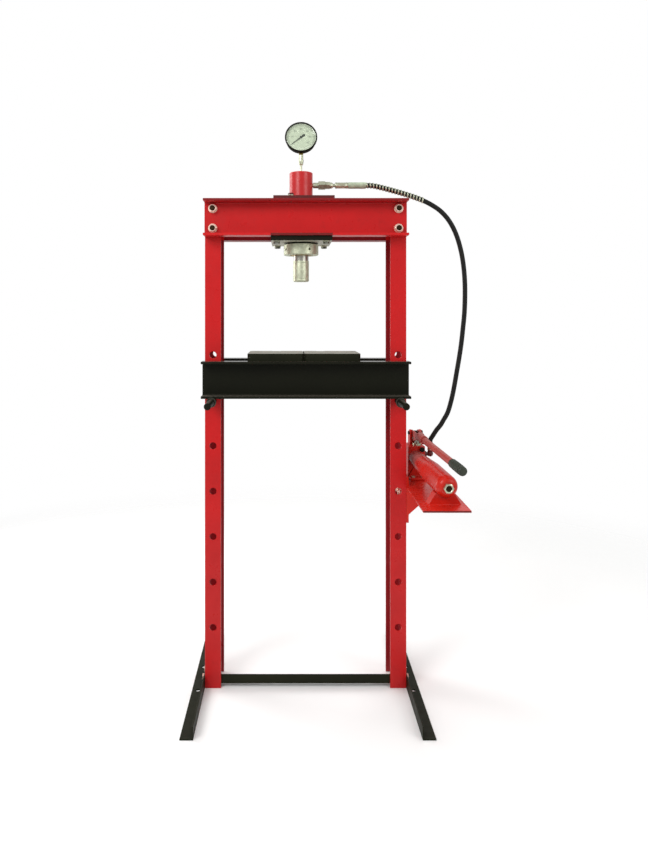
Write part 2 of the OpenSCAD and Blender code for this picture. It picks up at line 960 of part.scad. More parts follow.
// The adapter's top is cut square to the leaning gauge
module gauge_adapter() {
    color(zinc)
        difference() {
            translate([ram_x, 0, adapter_z0]) cylinder(r = adapter_r, h = adapter_z1 - adapter_z0 + 6);
            translate([ram_x, 0, adapter_z0 - 1]) cylinder(r = stem_r + fit, h = stem_seat + 1);
            translate([ram_x, 0, adapter_z0]) cylinder(r = oil_r - 1, h = adapter_z1);
            gauge_frame()
                translate([-gauge_r, -gauge_drop, -gauge_r])
                    cube([2 * gauge_r, gauge_r, 4 * gauge_r]);
        }
}

// Square shank that screws into the adapter; inside the case it carries the
// tube and the pointer's bearing
module gauge_socket() {
    color(brass)
        gauge_frame()
            difference() {
                translate([-socket_w / 2, -gauge_drop, (gauge_t - socket_t) / 2])
                    cube([socket_w, gauge_drop + socket_w / 2, socket_t]);
                translate([0, 0, -1]) cylinder(r = arbor_r + fit, h = gauge_t);
            }
}

module gauge_case() {
    color(black)
        gauge_frame()
            difference() {
                cylinder(r = case_r, h = case_t);
                translate([0, 0, case_wall]) cylinder(r = case_r - case_wall, h = case_t);
                translate([-socket_w / 2 - fit, -gauge_r, (gauge_t - socket_t) / 2 - fit])
                    cube([socket_w + 2 * fit, gauge_r / 2, socket_t + 2 * fit]);
            }
}

module gauge_bezel() {
    color(black)
        gauge_frame()
            difference() {
                translate([0, 0, gauge_t - bezel_t]) cylinder(r = gauge_r, h = bezel_t);
                translate([0, 0, gauge_t - bezel_t - 1])
                    cylinder(r = case_r + fit, h = bezel_t - lip_t + 1);
                cylinder(r = case_r - case_wall, h = gauge_t + 1);
            }
}

module gauge_lens() {
    color("#dfe6dc", 0.35)
        gauge_frame()
            translate([0, 0, case_t])
                cylinder(r = case_r, h = lens_t);
}

module gauge_dial() {
    color("#dfe5d6")
        gauge_frame()
            difference() {
                translate([0, 0, dial_z - dial_t])
                    cylinder(r = case_r - case_wall - fit, h = dial_t);
                translate([0, 0, dial_z - dial_t - 1]) cylinder(r = arbor_r + 1, h = dial_t + 2);
            }
}

// Needle on its arbor
module gauge_pointer() {
    color("#1a1a1a")
        gauge_frame()
            union() {
                translate([0, 0, (gauge_t - socket_t) / 2 + 1])
                    cylinder(r = arbor_r, h = dial_z + 2 - (gauge_t - socket_t) / 2 - 1);
                translate([0, 0, dial_z + 1]) {
                    cylinder(r = 4, h = 2);
                    rotate([0, 0, gauge_zero])
                        linear_extrude(1)
                            polygon([
                                [-15, -3], [-15, 3], [0, 2],
                                [case_r - 11, 0.6], [case_r - 11, -0.6], [0, -2]
                            ]);
                }
            }
}

// Curved tube that straightens under pressure and turns the pointer
module bourdon_tube() {
    color(brass)
        gauge_frame()
            translate([0, 0, (gauge_t - socket_t) / 2 + 2])
                rotate([0, 0, -76])
                    rotate_extrude(angle = 240)
                        translate([tube_r, 0])
                            square([5, 6]);
}

// ---- hose ---------------------------------------------------------------

module port_fitting() {
    x0 = ram_x + bore_d / 2 + 1;
    color(zinc)
        translate([0, 0, port_z])
            rotate([0, 90, 0])
                difference() {
                    union() {
                        translate([0, 0, x0]) cylinder(r = fitting_r, h = nipple_x1 - x0 + 1);
                        translate([0, 0, nipple_x1]) hex(26, hex1_x1 - nipple_x1);
                    }
                    translate([0, 0, x0 - 1]) cylinder(r = oil_r, h = hex1_x1);
                }
}

module swivel_nut() {
    color(zinc)
        translate([hex1_x1, 0, port_z])
            rotate([0, 90, 0])
                difference() {
                    hex(22, hex2_x1 - hex1_x1);
                    translate([0, 0, -1]) cylinder(r = oil_r, h = hex2_x1);
                }
}

// Crimped ends of the hose: one behind the swivel nut, one on the pump
module hose_ferrules() {
    color(zinc) {
        translate([hex2_x1, 0, port_z])
            rotate([0, 90, 0]) {
                cylinder(r = fitting_r, h = ferrule_x0 - hex2_x1 + 1);
                translate([0, 0, ferrule_x0 - hex2_x1]) cylinder(r = ferrule_r, h = ferrule_l);
            }
        pump_frame()
            translate([outlet_x, outlet_y, elbow_top])
                cylinder(r = ferrule_r, h = ferrule2_l);
    }
}

module hose_sleeve() {
    color("#c9cbbb")
        translate([ferrule_x1, 0, port_z])
            rotate([0, 90, 0])
                cylinder(r = hose_d / 2 + 3, h = sleeve_l);
}

module spring_guard() {
    color(zinc)
        sleeve_tube([for (i = [0 : guard_rings - 1]) route[i]], guard_d, hose_d + 1, tube_sides);
}

module hose() {
    color(rubber) tube(route, hose_d, tube_sides);
}

// Nipple, elbow body and upright spigot on the pump's outlet
module outlet_elbow() {
    color(dark_grey)
        pump_frame()
            translate([0, outlet_y, outlet_z])
                union() {
                    translate([head_x1 - 10, 0, 0])
                        rotate([0, 90, 0])
                            cylinder(r = fitting_r, h = outlet_x - head_x1 + 10);
                    translate([head_x1, 0, 0])
                        rotate([0, 90, 0])
                            hex(18, 9);
                    translate([outlet_x, 0, 0]) sphere(r = elbow_r);
                    translate([outlet_x, 0, 0]) cylinder(r = elbow_r - 1, h = elbow_top - outlet_z);
                }
}

// ---- pump ---------------------------------------------------------------

module pump_frame() {
    translate(pump_at)
        rotate([0, 0, pump_yaw])
            rotate([pump_dip, 0, 0])
                children();
}

// Everything above the shelf's top
module on_shelf() {
    intersection() {
        children();
        translate([half_w, -2 * shelf_front, shelf_z]) cube([400, 4 * shelf_front, 400]);
    }
}

// Back plate, shelf and two gussets welded together
module pump_bracket() {
    color(red)
        difference() {
            union() {
                translate([half_w, -half_sec, bracket_z0])
                    cube([bracket_t, sec_h, bracket_top - bracket_z0]);
                translate([half_w, -shelf_front, shelf_z - shelf_t])
                    cube([shelf_w, shelf_front + shelf_rear, shelf_t]);
                for (s = [0, 1])
                    mirror([0, s, 0])
                        translate([half_w + bracket_t - 1, -gusset_y, shelf_z - shelf_t])
                            rotate([90, 0, 0])
                                linear_extrude(shelf_t)
                                    polygon([
                                        [0, 1], [gusset_l, 1], [gusset_l, 0],
                                        [1, -gusset_h], [0, -gusset_h]
                                    ]);
            }
            for (y = [-1, 1], z = bracket_bolt_z)
                translate([half_w, y * bracket_bolt_y, z])
                    bar_x(M12[0] + 2 * bolt_play, 4 * bracket_t);
            for (p = head_bolt_at)
                translate([p[0], p[1], shelf_z - shelf_t - 1])
                    cylinder(d = M8[0] + 2 * bolt_play, h = shelf_t + 2);
        }
}

// Frame that is turned like the pump but stands level on the shelf
module shelf_frame() {
    translate([pump_at[0], pump_at[1], shelf_z])
        rotate([0, 0, pump_yaw])
            children();
}

// Cast head: block on a flat base, with two ears for the lever's pivot and a
// wall behind them
module pump_head() {
    color(red)
        difference() {
            union() {
                on_shelf() pump_frame() head_block();
                shelf_frame()
                    translate([head_x0 + base_in, base_front, 0])
                        cube([head_x1 - head_x0 - 2 * base_in, head_front - base_front + 10, base_t]);
            }
            pump_frame() head_bores();
            for (p = head_bolt_at)
                translate([p[0], p[1], shelf_z - 1])
                    cylinder(d = M8[0] + 2 * bolt_play, h = base_t + 2);
        }
}

module head_block() {
    translate([head_x0, head_front, -pump_at[2] + shelf_z - 20])
        cube([head_x1 - head_x0, head_rear - head_front, head_top + pump_at[2] - shelf_z + 20]);
    for (s = [0, 1])
        translate([lever_x, pivot_y, 0])
            mirror([s, 0, 0])
                translate([ear_in, 0, 0]) {
                    translate([0, 0, pivot_z]) rotate([0, 90, 0]) cylinder(r = ear_r, h = ear_t);
                    translate([0, -ear_r, head_top - 2]) cube([ear_t, 2 * ear_r, pivot_z - head_top + 2]);
                }
    translate([lever_x - ear_in - ear_t, head_rear - ear_wall, head_top - 2])
        cube([2 * (ear_in + ear_t), ear_wall, pivot_z - head_top + ear_wall_over + 2]);
}

// Plunger bore with its gland seat, pivot, valve, outlet and suction holes
module head_bores() {
    translate([lever_x, plunger_y, bore_floor])
        cylinder(d = plunger_d + 2 * fit, h = head_top - bore_floor + 1);
    translate([lever_x, plunger_y, head_top - gland_seat])
        cylinder(d = gland_thread_d + 2 * fit, h = gland_seat + 1);
    translate([lever_x, pivot_y, pivot_z]) bar_x(2 * (pivot_r + fit), 80);
    translate([valve_x, head_front - 1, valve_z])
        rotate([-90, 0, 0])
            cylinder(r = valve_r + fit, h = valve_seat + 1);
    translate([head_x1 - 10 - fit, outlet_y, outlet_z])
        rotate([0, 90, 0])
            cylinder(r = fitting_r + fit, h = 20);
    translate([lever_x, outlet_y, outlet_z])
        rotate([0, 90, 0])
            cylinder(r = oil_r, h = head_x1 - lever_x);
    translate([lever_x - 4, head_front - 1, -12])
        rotate([-90, 0, 0])
            cylinder(r = oil_r, h = plunger_y - head_front + 1);
}

// Tube between the head and the reservoir
module pump_neck() {
    color(dull_red)
        pump_frame()
            translate([0, head_front, 0])
                rotate([90, 0, 0])
                    difference() {
                        cylinder(d = neck_d, h = neck_l);
                        translate([0, 0, -1]) cylinder(d = neck_d - 2 * neck_wall, h = neck_l + 2);
                    }
}

// Bottle-shaped shell: collar on the neck, long taper, straight body, dome
module reservoir() {
    r0 = neck_d / 2 + fit;
    r1 = neck_d / 2 + collar_t;
    w = reservoir_wall;
    l = reservoir_y1 - reservoir_y0;
    color(red)
        pump_frame()
            translate([0, reservoir_y1, 0])
                rotate([90, 0, 0])
                    rotate_extrude()
                        polygon(concat(
                            [[r0, 0], [r1, 0], [r1, collar_l], [reservoir_r, collar_l + taper_l]],
                            [
                                for (a = [0 : 15 : 90])
                                    [dome_r + (reservoir_r - dome_r) * cos(a), l - dome_l + dome_l * sin(a)]
                            ],
                            [[vent_r + fit, l], [vent_r + fit, l - w]],
                            [
                                for (a = [90 : -15 : 0])
                                    [
                                        dome_r - w + (reservoir_r - dome_r) * cos(a),
                                        l - dome_l + (dome_l - w) * sin(a)
                                    ]
                            ],
                            [[reservoir_r - w, collar_l + taper_l], [r0, collar_l + 2]]
                        ));
}

// Block with sloping sides, welded to the shelf, that carries the front of
// the reservoir
module reservoir_saddle() {
    foot_z = -(pump_up + saddle_y * sin(pump_dip)) / cos(pump_dip);
    color(red)
        on_shelf()
            pump_frame()
                translate([0, saddle_y + saddle_l / 2, 0])
                    rotate([90, 0, 0])
                        linear_extrude(saddle_l)
                            difference() {
                                polygon([
                                    for (s = [-1, 1]) [s * saddle_foot_w / 2, foot_z - 2 * base_t],
                                    [saddle_foot_w / 2, foot_z],
                                    for (s = [1, -1]) [s * saddle_top_w / 2, -reservoir_r * saddle_lap],
                                    [-saddle_foot_w / 2, foot_z]
                                ]);
                                circle(r = reservoir_r + fit);
                            }
}

// Filler and vent screw in the reservoir's end
module vent_screw() {
    color(zinc)
        pump_frame()
            translate([0, reservoir_y0, 0])
                rotate([90, 0, 0])
                    difference() {
                        union() {
                            translate([0, 0, -reservoir_wall - 3])
                                cylinder(r = vent_r, h = reservoir_wall + 4);
                            hex(vent_af, vent_l);
                        }
                        translate([0, 0, vent_l - 4]) cylinder(r = vent_r - 1, h = 5);
                    }
}

// Plunger with a slotted eye that the lever's pin lifts
module plunger() {
    color(steel)
        pump_frame()
            translate([lever_x, plunger_y, 0])
                difference() {
                    union() {
                        translate([0, 0, plunger_z0]) cylinder(d = plunger_d, h = pin2_z - plunger_z0);
                        translate([-plunger_d / 2, -eye_l / 2, pin2_z - eye_h / 2])
                            cube([plunger_d, eye_l, eye_h]);
                    }
                    for (s = [-1, 1])
                        translate([0, s * slot_y, pin2_z])
                            bar_x(2 * (pin2_r + slot_play), 2 * plunger_d);
                    translate([-plunger_d, -slot_y, pin2_z - pin2_r - slot_play])
                        cube([2 * plunger_d, 2 * slot_y, 2 * (pin2_r + slot_play)]);
                }
}

module plunger_gland() {
    color(zinc)
        pump_frame()
            translate([lever_x, plunger_y, head_top])
                difference() {
                    union() {
                        translate([0, 0, fit - gland_seat]) cylinder(d = gland_thread_d, h = gland_seat);
                        cylinder(d = gland_d, h = gland_l);
                    }
                    translate([0, 0, -gland_seat - 1])
                        cylinder(d = plunger_d + 2 * fit, h = gland_seat + gland_l + 2);
                }
}

// Two cheeks beside the plunger's eye, joined to a socket for the bar
module lever_fork() {
    color(dull_red)
        pump_frame()
            translate([lever_x, 0, 0])
                difference() {
                    union() {
                        for (s = [0, 1])
                            mirror([s, 0, 0])
                                translate([cheek_in, 0, 0])
                                    rotate([90, 0, 90])
                                        linear_extrude(cheek_t)
                                            cheek_outline();
                        translate([0, socket_rear, pivot_z])
                            rotate([90, 0, 0])
                                cylinder(r = socket_r, h = socket_rear - socket_front);
                    }
                    translate([0, socket_rear - 2, pivot_z])
                        rotate([90, 0, 0])
                            cylinder(d = lever_d + 2 * fit, h = socket_rear - socket_front);
                    translate([0, pivot_y, pivot_z]) bar_x(2 * (pivot_r + fit), 60);
                    translate([0, pin2_y, pin2_z]) bar_x(2 * (pin2_r + fit), 60);
                }
}

module cheek_outline() {
    r = 11;
    translate([pivot_y, pivot_z]) circle(r);
    translate([pin2_y, pin2_z]) circle(r - 2);
    polygon([
        [pivot_y, pivot_z + r], [socket_rear - 14, pivot_z + r], [socket_rear - 14, pivot_z - r],
        [pin2_y - 6, pin2_z - r + 4], [pin2_y, pin2_z - r + 2], [pin2_y + 6, pin2_z - r + 4],
        [pivot_y, pivot_z - r]
    ]);
}

module lever_bar() {
    l = socket_rear - 2 - seat - (lever_front + grip_end);
    color(dull_red)
        pump_frame()
            translate([lever_x, lever_front + grip_end, pivot_z])
                rotate([-90, 0, 0])
                    cylinder(d = lever_d, h = l);
}

// Rubber sleeve, closed at its end, with a hole to hang the lever by
module lever_grip() {
    color(rubber)
        pump_frame()
            translate([lever_x, lever_front, pivot_z])
                rotate([-90, 0, 0])
                    difference() {
                        union() {
                            cylinder(d1 = grip_d - 8, d2 = grip_d, h = 4);
                            translate([0, 0, 4]) cylinder(d = grip_d, h = grip_l - 4);
                        }
                        translate([0, 0, grip_end]) cylinder(d = lever_d + 2 * fit, h = grip_l);
                        translate([0, 0, grip_end / 2 + 1]) bar_x(8, 2 * grip_d);
                    }
}

module pivot_pin() {
    color(black)
        pump_frame()
            translate([lever_x - ear_in - ear_t - 4, pivot_y, pivot_z])
                rotate([0, 90, 0]) {
                    cylinder(r = pivot_r, h = 2 * (ear_in + ear_t) + 4);
                    translate([0, 0, 2 * (ear_in + ear_t) + 4]) cylinder(r = pivot_r + 3, h = 5);
                }
}

module plunger_pin() {
    color(steel)
        pump_frame()
            translate([lever_x, pin2_y, pin2_z])
                bar_x(2 * pin2_r, 2 * (cheek_in + cheek_t) + 3);
}

// Screw with a fluted knob that lets the oil back to the reservoir
module release_valve() {
    color(black)
        pump_frame()
            translate([valve_x, head_front, valve_z])
                rotate([90, 0, 0])
                    difference() {
                        union() {
                            translate([0, 0, 1 - valve_seat]) cylinder(r = valve_r, h = valve_seat + 8);
                            translate([0, 0, 8]) cylinder(d = knob_d, h = knob_l);
                        }
                        for (a = [0 : 45 : 315])
                            rotate([0, 0, a])
                                translate([knob_d / 2 + 1, 0, 7])
                                    cylinder(r = 2, h = knob_l + 2);
                    }
}

// Bolts through the shelf, nuts below
module pump_bolt_sets() {
    color(zinc)
        for (p = head_bolt_at)
            translate([p[0], p[1], shelf_z + base_t])
                rotate([180, 0, 0])
                    bolt_solids(M8, base_t + shelf_t);
}

upright_left();
upright_right();
head_channel_front();
head_channel_rear();
head_bolt_sets();
foot_left();
foot_right();
m12_bolt_sets();
cross_bar();
top_plate();
bottom_plate();
plate_bolt_sets();
bed_channel_front();
bed_channel_rear();
bed_spacers();
bed_pin_left();
bed_pin_right();
press_plate_left();
press_plate_right();
cylinder_barrel();
ring_nut();
lock_ring();
gland_bush();
piston();
piston_seal();
ram_rod();
ram_nose();
return_spring();
gauge_stem();
gauge_adapter();
gauge_socket();
gauge_case();
gauge_bezel();
gauge_lens();
gauge_dial();
gauge_pointer();
bourdon_tube();
port_fitting();
swivel_nut();
hose_ferrules();
hose_sleeve();
spring_guard();
hose();
outlet_elbow();
pump_bracket();
pump_head();
pump_neck();
reservoir();
reservoir_saddle();
vent_screw();
plunger();
plunger_gland();
lever_fork();
lever_bar();
lever_grip();
pivot_pin();
plunger_pin();
release_valve();
pump_bolt_sets();
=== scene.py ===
"""Workshop hydraulic press: the visible pieces, finishes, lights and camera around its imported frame."""

import json
import math

import bmesh
import bpy
import mathutils
import numpy as np
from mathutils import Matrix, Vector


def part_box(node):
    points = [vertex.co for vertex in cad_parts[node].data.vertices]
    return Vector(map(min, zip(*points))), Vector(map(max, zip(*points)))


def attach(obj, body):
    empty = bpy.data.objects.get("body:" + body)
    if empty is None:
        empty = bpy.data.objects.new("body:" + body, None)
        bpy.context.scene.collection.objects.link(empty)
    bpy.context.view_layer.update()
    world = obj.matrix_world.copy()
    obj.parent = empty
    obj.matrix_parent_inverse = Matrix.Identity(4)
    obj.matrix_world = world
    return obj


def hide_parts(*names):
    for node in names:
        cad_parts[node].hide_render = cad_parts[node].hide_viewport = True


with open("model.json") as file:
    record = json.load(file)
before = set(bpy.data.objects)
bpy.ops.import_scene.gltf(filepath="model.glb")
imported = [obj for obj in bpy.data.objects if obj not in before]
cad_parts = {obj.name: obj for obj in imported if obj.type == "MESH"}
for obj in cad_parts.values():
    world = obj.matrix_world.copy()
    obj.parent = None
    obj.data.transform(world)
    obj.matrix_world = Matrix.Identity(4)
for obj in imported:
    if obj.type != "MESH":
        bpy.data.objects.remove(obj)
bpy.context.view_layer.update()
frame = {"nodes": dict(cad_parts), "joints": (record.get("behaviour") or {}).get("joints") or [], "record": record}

bl_info = {
    "name": "Workshop hydraulic press",
    "version": (1, 0, 0),
    "blender": (4, 5, 0),
    "location": "3D View > Sidebar > Press",
    "description": "Builds the visible pieces and the finishes of an H-frame hydraulic press",
    "category": "Object",
}

MM = 0.001
TURN = 2 * math.pi
X, Y, Z = np.eye(3)
RECORD = frame["record"]
BODY_OF = {n: body for body, nodes in RECORD["behaviour"]["bodies"].items() for n in nodes}
JOINTS = {j["name"]: j for j in frame["joints"]}


# ---- frames of reference ------------------------------------------------


def placed(origin, out, side):
    """4x4 matrix whose Z is out, whose X is side made square to it, and whose origin is given."""
    w = np.asarray(out, float) / np.linalg.norm(out)
    u = np.asarray(side, float) - w * np.dot(side, w)
    u /= np.linalg.norm(u)
    m = np.eye(4)
    m[:3, :3] = np.stack([u, np.cross(w, u), w], axis=1)
    m[:3, 3] = origin
    return m


def shifted(base, x, y, z):
    """The same directions with the origin at (x, y, z) of the old ones."""
    m = base.copy()
    m[:3, 3] = base[:3, :3] @ np.array([x, y, z]) + base[:3, 3]
    return m


def matrix(m):
    """Blender's matrix of a numpy one."""
    return mathutils.Matrix(m.tolist())


def box_of(node):
    """Lowest and highest corners of a CAD node as numpy arrays."""
    low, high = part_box(node)
    return np.array(low), np.array(high)


HINGE, GAUGE_AXIS = JOINTS["lever_hinge"], JOINTS["pointer_turn"]
# The pump leans and turns with its joints: X is against the lever's hinge, -Y runs to
# the lever's grip and Z up its plunger. The lever's pivot stands at this place in it.
LEVER_PIVOT = (0.011, 0.024, 0.074)
PUMP = placed(HINGE["pos_m"], JOINTS["plunger_slide"]["axis"], -np.array(HINGE["axis"]))
PUMP = shifted(PUMP, *[-v for v in LEVER_PIVOT])
# The gauge's own frame: Z out of the dial, Y up its face, origin behind the case
GAUGE_DEPTH = 0.034
GAUGE = placed(GAUGE_AXIS["pos_m"], -np.array(GAUGE_AXIS["axis"]), X)
GAUGE = shifted(GAUGE, 0, 0, -GAUGE_DEPTH / 2)


def pump_place(x, y, z):
    """The pump's frame with its origin at a place in it, in mm."""
    return shifted(PUMP, x * MM, y * MM, z * MM)


def pump_ahead(x=0, y=0, z=0):
    """Frame at a place in the pump's own, in mm: Z runs to the grip, and X is the pump's."""
    return placed(pump_place(x, y, z)[:3, 3], -PUMP[:3, 1], PUMP[:3, 0])


# ---- shapes: (points, faces), with -1 as the fourth corner of a triangle -


def quads(rows, cols):
    """Faces between neighbouring rows of a grid whose columns close up; outward where the rows
    run up a tube and the columns turn anticlockwise seen from its top."""
    r, c = (g.ravel() for g in np.meshgrid(np.arange(rows - 1), np.arange(cols), indexing="ij"))
    n = (c + 1) % cols
    return np.stack([r * cols + c, r * cols + n, (r + 1) * cols + n, (r + 1) * cols + c], axis=1)


def capped(rows, cols):
    """Faces of such a grid and a fan at each end, about the two points that follow the grid's."""
    c, pole, none = np.arange(cols), np.full(cols, rows * cols), np.full(cols, -1)
    n, last = (c + 1) % cols, (rows - 1) * cols
    low = np.stack([pole, n, c, none], axis=1)
    high = np.stack([last + c, last + n, pole + 1, none], axis=1)
    return np.concatenate([quads(rows, cols), low, high])


def around(radius, height, sides, loop=True):
    """Tube about Z: point (i, a) is at radius[i, a], height[i, a] and the angle a. With loop the
    last row joins the first, as in a ring; otherwise the first and last rows close at the axis."""
    a, rows = np.arange(sides) * TURN / sides, len(radius)
    radius, height = (
        np.broadcast_to(np.asarray(v, float).reshape(rows, -1), (rows, sides)) for v in (radius, height)
    )
    points = np.stack([radius * np.cos(a), radius * np.sin(a), height], axis=-1).reshape(-1, 3)
    if loop:
        return points, quads(rows + 1, sides) % (rows * sides)
    poles = np.array([[0, 0, height[0].mean()], [0, 0, height[-1].mean()]])
    return np.concatenate([points, poles]), capped(rows, sides)


def turned(profile, sides=72, loop=True):
    """Surface of revolution of a profile of (radius, height) points about Z."""
    profile = np.asarray(profile, float)
    return around(profile[:, 0], profile[:, 1], sides, loop)


def rounded(points, radius, steps=3, closed=True):
    """Outline whose corners are arcs: each arc runs between the points at radius / tan(half the
    corner's angle) from the corner, on a circle about the point inside it. One radius, or one per
    corner; a short edge makes its arcs smaller. The ends of an open outline stay."""
    p = np.asarray(points, float)
    before, after = np.roll(p, 1, 0) - p, np.roll(p, -1, 0) - p
    reach = np.minimum(np.linalg.norm(before, axis=1), np.linalg.norm(after, axis=1)) * 0.45
    before /= np.linalg.norm(before, axis=1)[:, None]
    after /= np.linalg.norm(after, axis=1)[:, None]
    half = np.arccos(np.clip((before * after).sum(1), -1, 1)) / 2
    half = np.clip(half, 0.01, TURN / 4 - 0.001)
    back = np.minimum(np.broadcast_to(radius, len(p)) / np.tan(half), reach)
    middle = before + after
    middle /= np.maximum(np.linalg.norm(middle, axis=1), 1e-9)[:, None]
    centre = p + middle * (back / np.cos(half))[:, None]
    start, end = p + before * back[:, None] - centre, p + after * back[:, None] - centre
    sweep = (TURN / 2 - 2 * half)[:, None, None]
    s = np.linspace(0, 1, steps + 1)[None, :, None]
    turn = np.sin((1 - s) * sweep) * start[:, None] + np.sin(s * sweep) * end[:, None]
    arcs = centre[:, None] + turn / np.sin(sweep)
    if closed:
        return arcs.reshape(-1, p.shape[1])
    return np.concatenate([p[:1], arcs[1:-1].reshape(-1, p.shape[1]), p[-1:]])


def lathe(profile, soft=0.0, sides=48, loop=False, steps=3):
    """Surface of revolution of a profile in mm, whose corners are rounded to the radius soft."""
    outline = np.multiply(profile, MM)
    if np.any(soft):
        outline = rounded(outline, np.multiply(soft, MM), steps, closed=loop)
    return turned(outline, sides, loop)


def hexagon(flats, height, hole=0.0, cut_low=True, sides=72):
    """Hexagonal nut or head: its radius at each angle from a corner is that of a hexagon, whose
    corners a cone of 30 degrees cuts at the top and, with cut_low, at the bottom; hole is the
    radius of the round hole through it."""
    a = np.arange(sides) * TURN / sides
    r = flats / 2 / np.cos(a % (TURN / 6) - TURN / 12)
    face = flats / 2 * 0.96
    drop = (r - face) * math.tan(math.radians(30))
    rows = [
        (np.full(sides, face) if cut_low else r - 0.0001, 0 * r),
        (r, drop if cut_low else 0 * r + 0.0001),
        (r, height - drop),
        (0 * r + face, 0 * r + height - 0.0001),
        (0 * r + face - 0.0002, 0 * r + height),
    ]
    if hole:
        lead = hole * 0.12
        rows += [
            (0 * r + hole + lead, 0 * r + height),
            (0 * r + hole, 0 * r + height - lead),
            (0 * r + hole, 0 * r + lead),
            (0 * r + hole + lead, 0 * r),
        ]
    return around([q for q, _ in rows], [z for _, z in rows], sides, loop=bool(hole))


def screw(radius, pitch, low, high, sides=36):
    """Threaded rod: the radius falls by 0.6 of the pitch and rises again once per pitch along the
    axis and once per turn round it; the upper end is bevelled."""
    rows = max(4, int((high - low) / pitch * 6))
    z = np.linspace(low, high, rows)[:, None]
    wave = np.abs((z / pitch - np.arange(sides) / sides) % 1 - 0.5) * 2
    r = np.minimum(radius - 0.6 * pitch * wave, radius - 0.6 * pitch + (high - z))
    return around(r, z, sides, loop=False)


def crimped(radius, length):
    """Ferrule pressed by eight jaws: its radius is less by 0.7 mm times the eighth wave round it,
    between two plain collars."""
    z = np.array([0, 0, 0.06, 0.1, 0.14, 0.3, 0.5, 0.7, 0.82, 0.86, 0.9, 1, 1]) * length
    z[1], z[-2] = 0.4 * MM, length - 0.4 * MM
    press = np.array([0, 0, 0, 0, 1, 1, 1, 1, 1, 0, 0, 0, 0])[:, None]
    plain = radius - np.array([4.5, 0.6, 0, 0, 0.5, 0.5, 0.5, 0.5, 0.5, 0, 0, 0.6, 4.5])[:, None] * MM
    wave = np.abs(np.sin(4 * np.arange(96) * TURN / 96)) ** 0.5
    return around(plain - 0.7 * MM * press * (1 - wave), z, 96, loop=False)


def prism(outline, z0, z1):
    """Straight prism on an outline that runs anticlockwise; each end is a fan about its middle,
    so that the outline must be seen whole from there."""
    ends = [np.column_stack([outline, np.full(len(outline), z)]) for z in (z0, z1)]
    poles = [[*outline.mean(0), z] for z in (z0, z1)]
    return np.concatenate([*ends, poles]), capped(2, len(outline))


def joined(shapes):
    """Several shapes as one."""
    starts = np.cumsum([0] + [len(points) for points, _ in shapes[:-1]])
    faces = [np.where(f < 0, f, f + s) for (_, f), s in zip(shapes, starts)]
    return np.concatenate([points for points, _ in shapes]), np.concatenate(faces)


def carried(points, base):
    """World places of points that are given in a frame."""
    return points @ base[:3, :3].T + base[:3, 3]


def moved(shape, base):
    """The shape placed by a matrix that doesn't mirror."""
    return carried(shape[0], base), shape[1]


def smooth_path(points, per_span):
    """Catmull-Rom curve: between two route points it is the cubic that leaves and arrives along
    the chords of their neighbours."""
    p = np.asarray(points, float)
    p = np.concatenate([2 * p[:1] - p[1:2], p, 2 * p[-1:] - p[-2:-1]])
    t = np.linspace(0, 1, per_span, endpoint=False)[None, :, None]
    a, b, c, d = (p[i : len(p) - 3 + i][:, None] for i in range(4))
    bent = (2 * a - 5 * b + 4 * c - d) * t**2 + (3 * b - a - 3 * c + d) * t**3
    curve = 0.5 * (2 * b + (c - a) * t + bent)
    return np.concatenate([curve.reshape(-1, 3), p[-2:-1]])


def path_length(path):
    """Length of a path's chords."""
    return float(np.linalg.norm(np.diff(path, axis=0), axis=1).sum())


def resampled(path, step):
    """The path with its points evenly spaced, about step apart."""
    along = np.concatenate([[0], np.cumsum(np.linalg.norm(np.diff(path, axis=0), axis=1))])
    even = np.linspace(0, along[-1], int(along[-1] / step) + 2)
    return np.stack([np.interp(even, along, path[:, i]) for i in range(3)], axis=1)


def path_frames(path, guide=(0, 1, 0)):
    """Unit vectors along a path, and two square to it, the first of them square to the guide."""
    along = np.gradient(path, axis=0)
    along /= np.linalg.norm(along, axis=1)[:, None]
    side = np.cross(along, guide)
    side /= np.linalg.norm(side, axis=1)[:, None]
    return along, side, np.cross(along, side)


def swept(path, radius, sides, guide=(0, 1, 0)):
    """Tube round a path: point (i, a) is the path's point i plus the radius along the turning
    direction cos a, sin a of the path's own frame; both ends close in a point."""
    path = np.asarray(path, float)
    _, u, v = path_frames(path, guide)
    a = (np.arange(sides) * TURN / sides)[None, :, None]
    r = np.broadcast_to(np.asarray(radius, float).reshape(-1, 1), (len(path), sides))[..., None]
    points = path[:, None] + r * (np.cos(a) * u[:, None] + np.sin(a) * v[:, None])
    return np.concatenate([points.reshape(-1, 3), path[:1], path[-1:]]), capped(len(path), sides)


def bead(start, end, width, pitch=0.0045):
    """Weld bead between two points: a round ridge that swells by an eighth once per pitch, leans
    from side to side a little and thins to nothing at its ends."""
    start, end = np.asarray(start, float), np.asarray(end, float)
    length = np.linalg.norm(end - start)
    s = np.linspace(0, 1, max(8, int(length / pitch * 6)))
    path = start + s[:, None] * (end - start)
    path += np.sin(s * length / pitch * 1.7)[:, None] * width * 0.06
    ripple = 1 + 0.13 * np.sin(TURN * s * length / pitch)
    ends = np.clip(np.minimum(s, 1 - s) * length / width, 0.05, 1) ** 0.5
    guide = (0, 1, 0) if abs((end - start)[1]) < 0.9 * length else (0, 0, 1)
    return swept(path, width / 2 * ripple * ends, 10, guide)


def ring_bead(radius, height, width, pitch=0.0045, sides=240):
    """Weld bead round Z: a torus whose tube swells by an eighth once per pitch round it."""
    a = np.arange(sides) * TURN / sides
    ripple = width / 2 * (1 + 0.13 * np.sin(np.round(TURN * radius / pitch) * a))
    b = np.arange(10)[:, None] * TURN / 10
    return around(radius + ripple * np.cos(b), height + ripple * np.sin(b), sides)


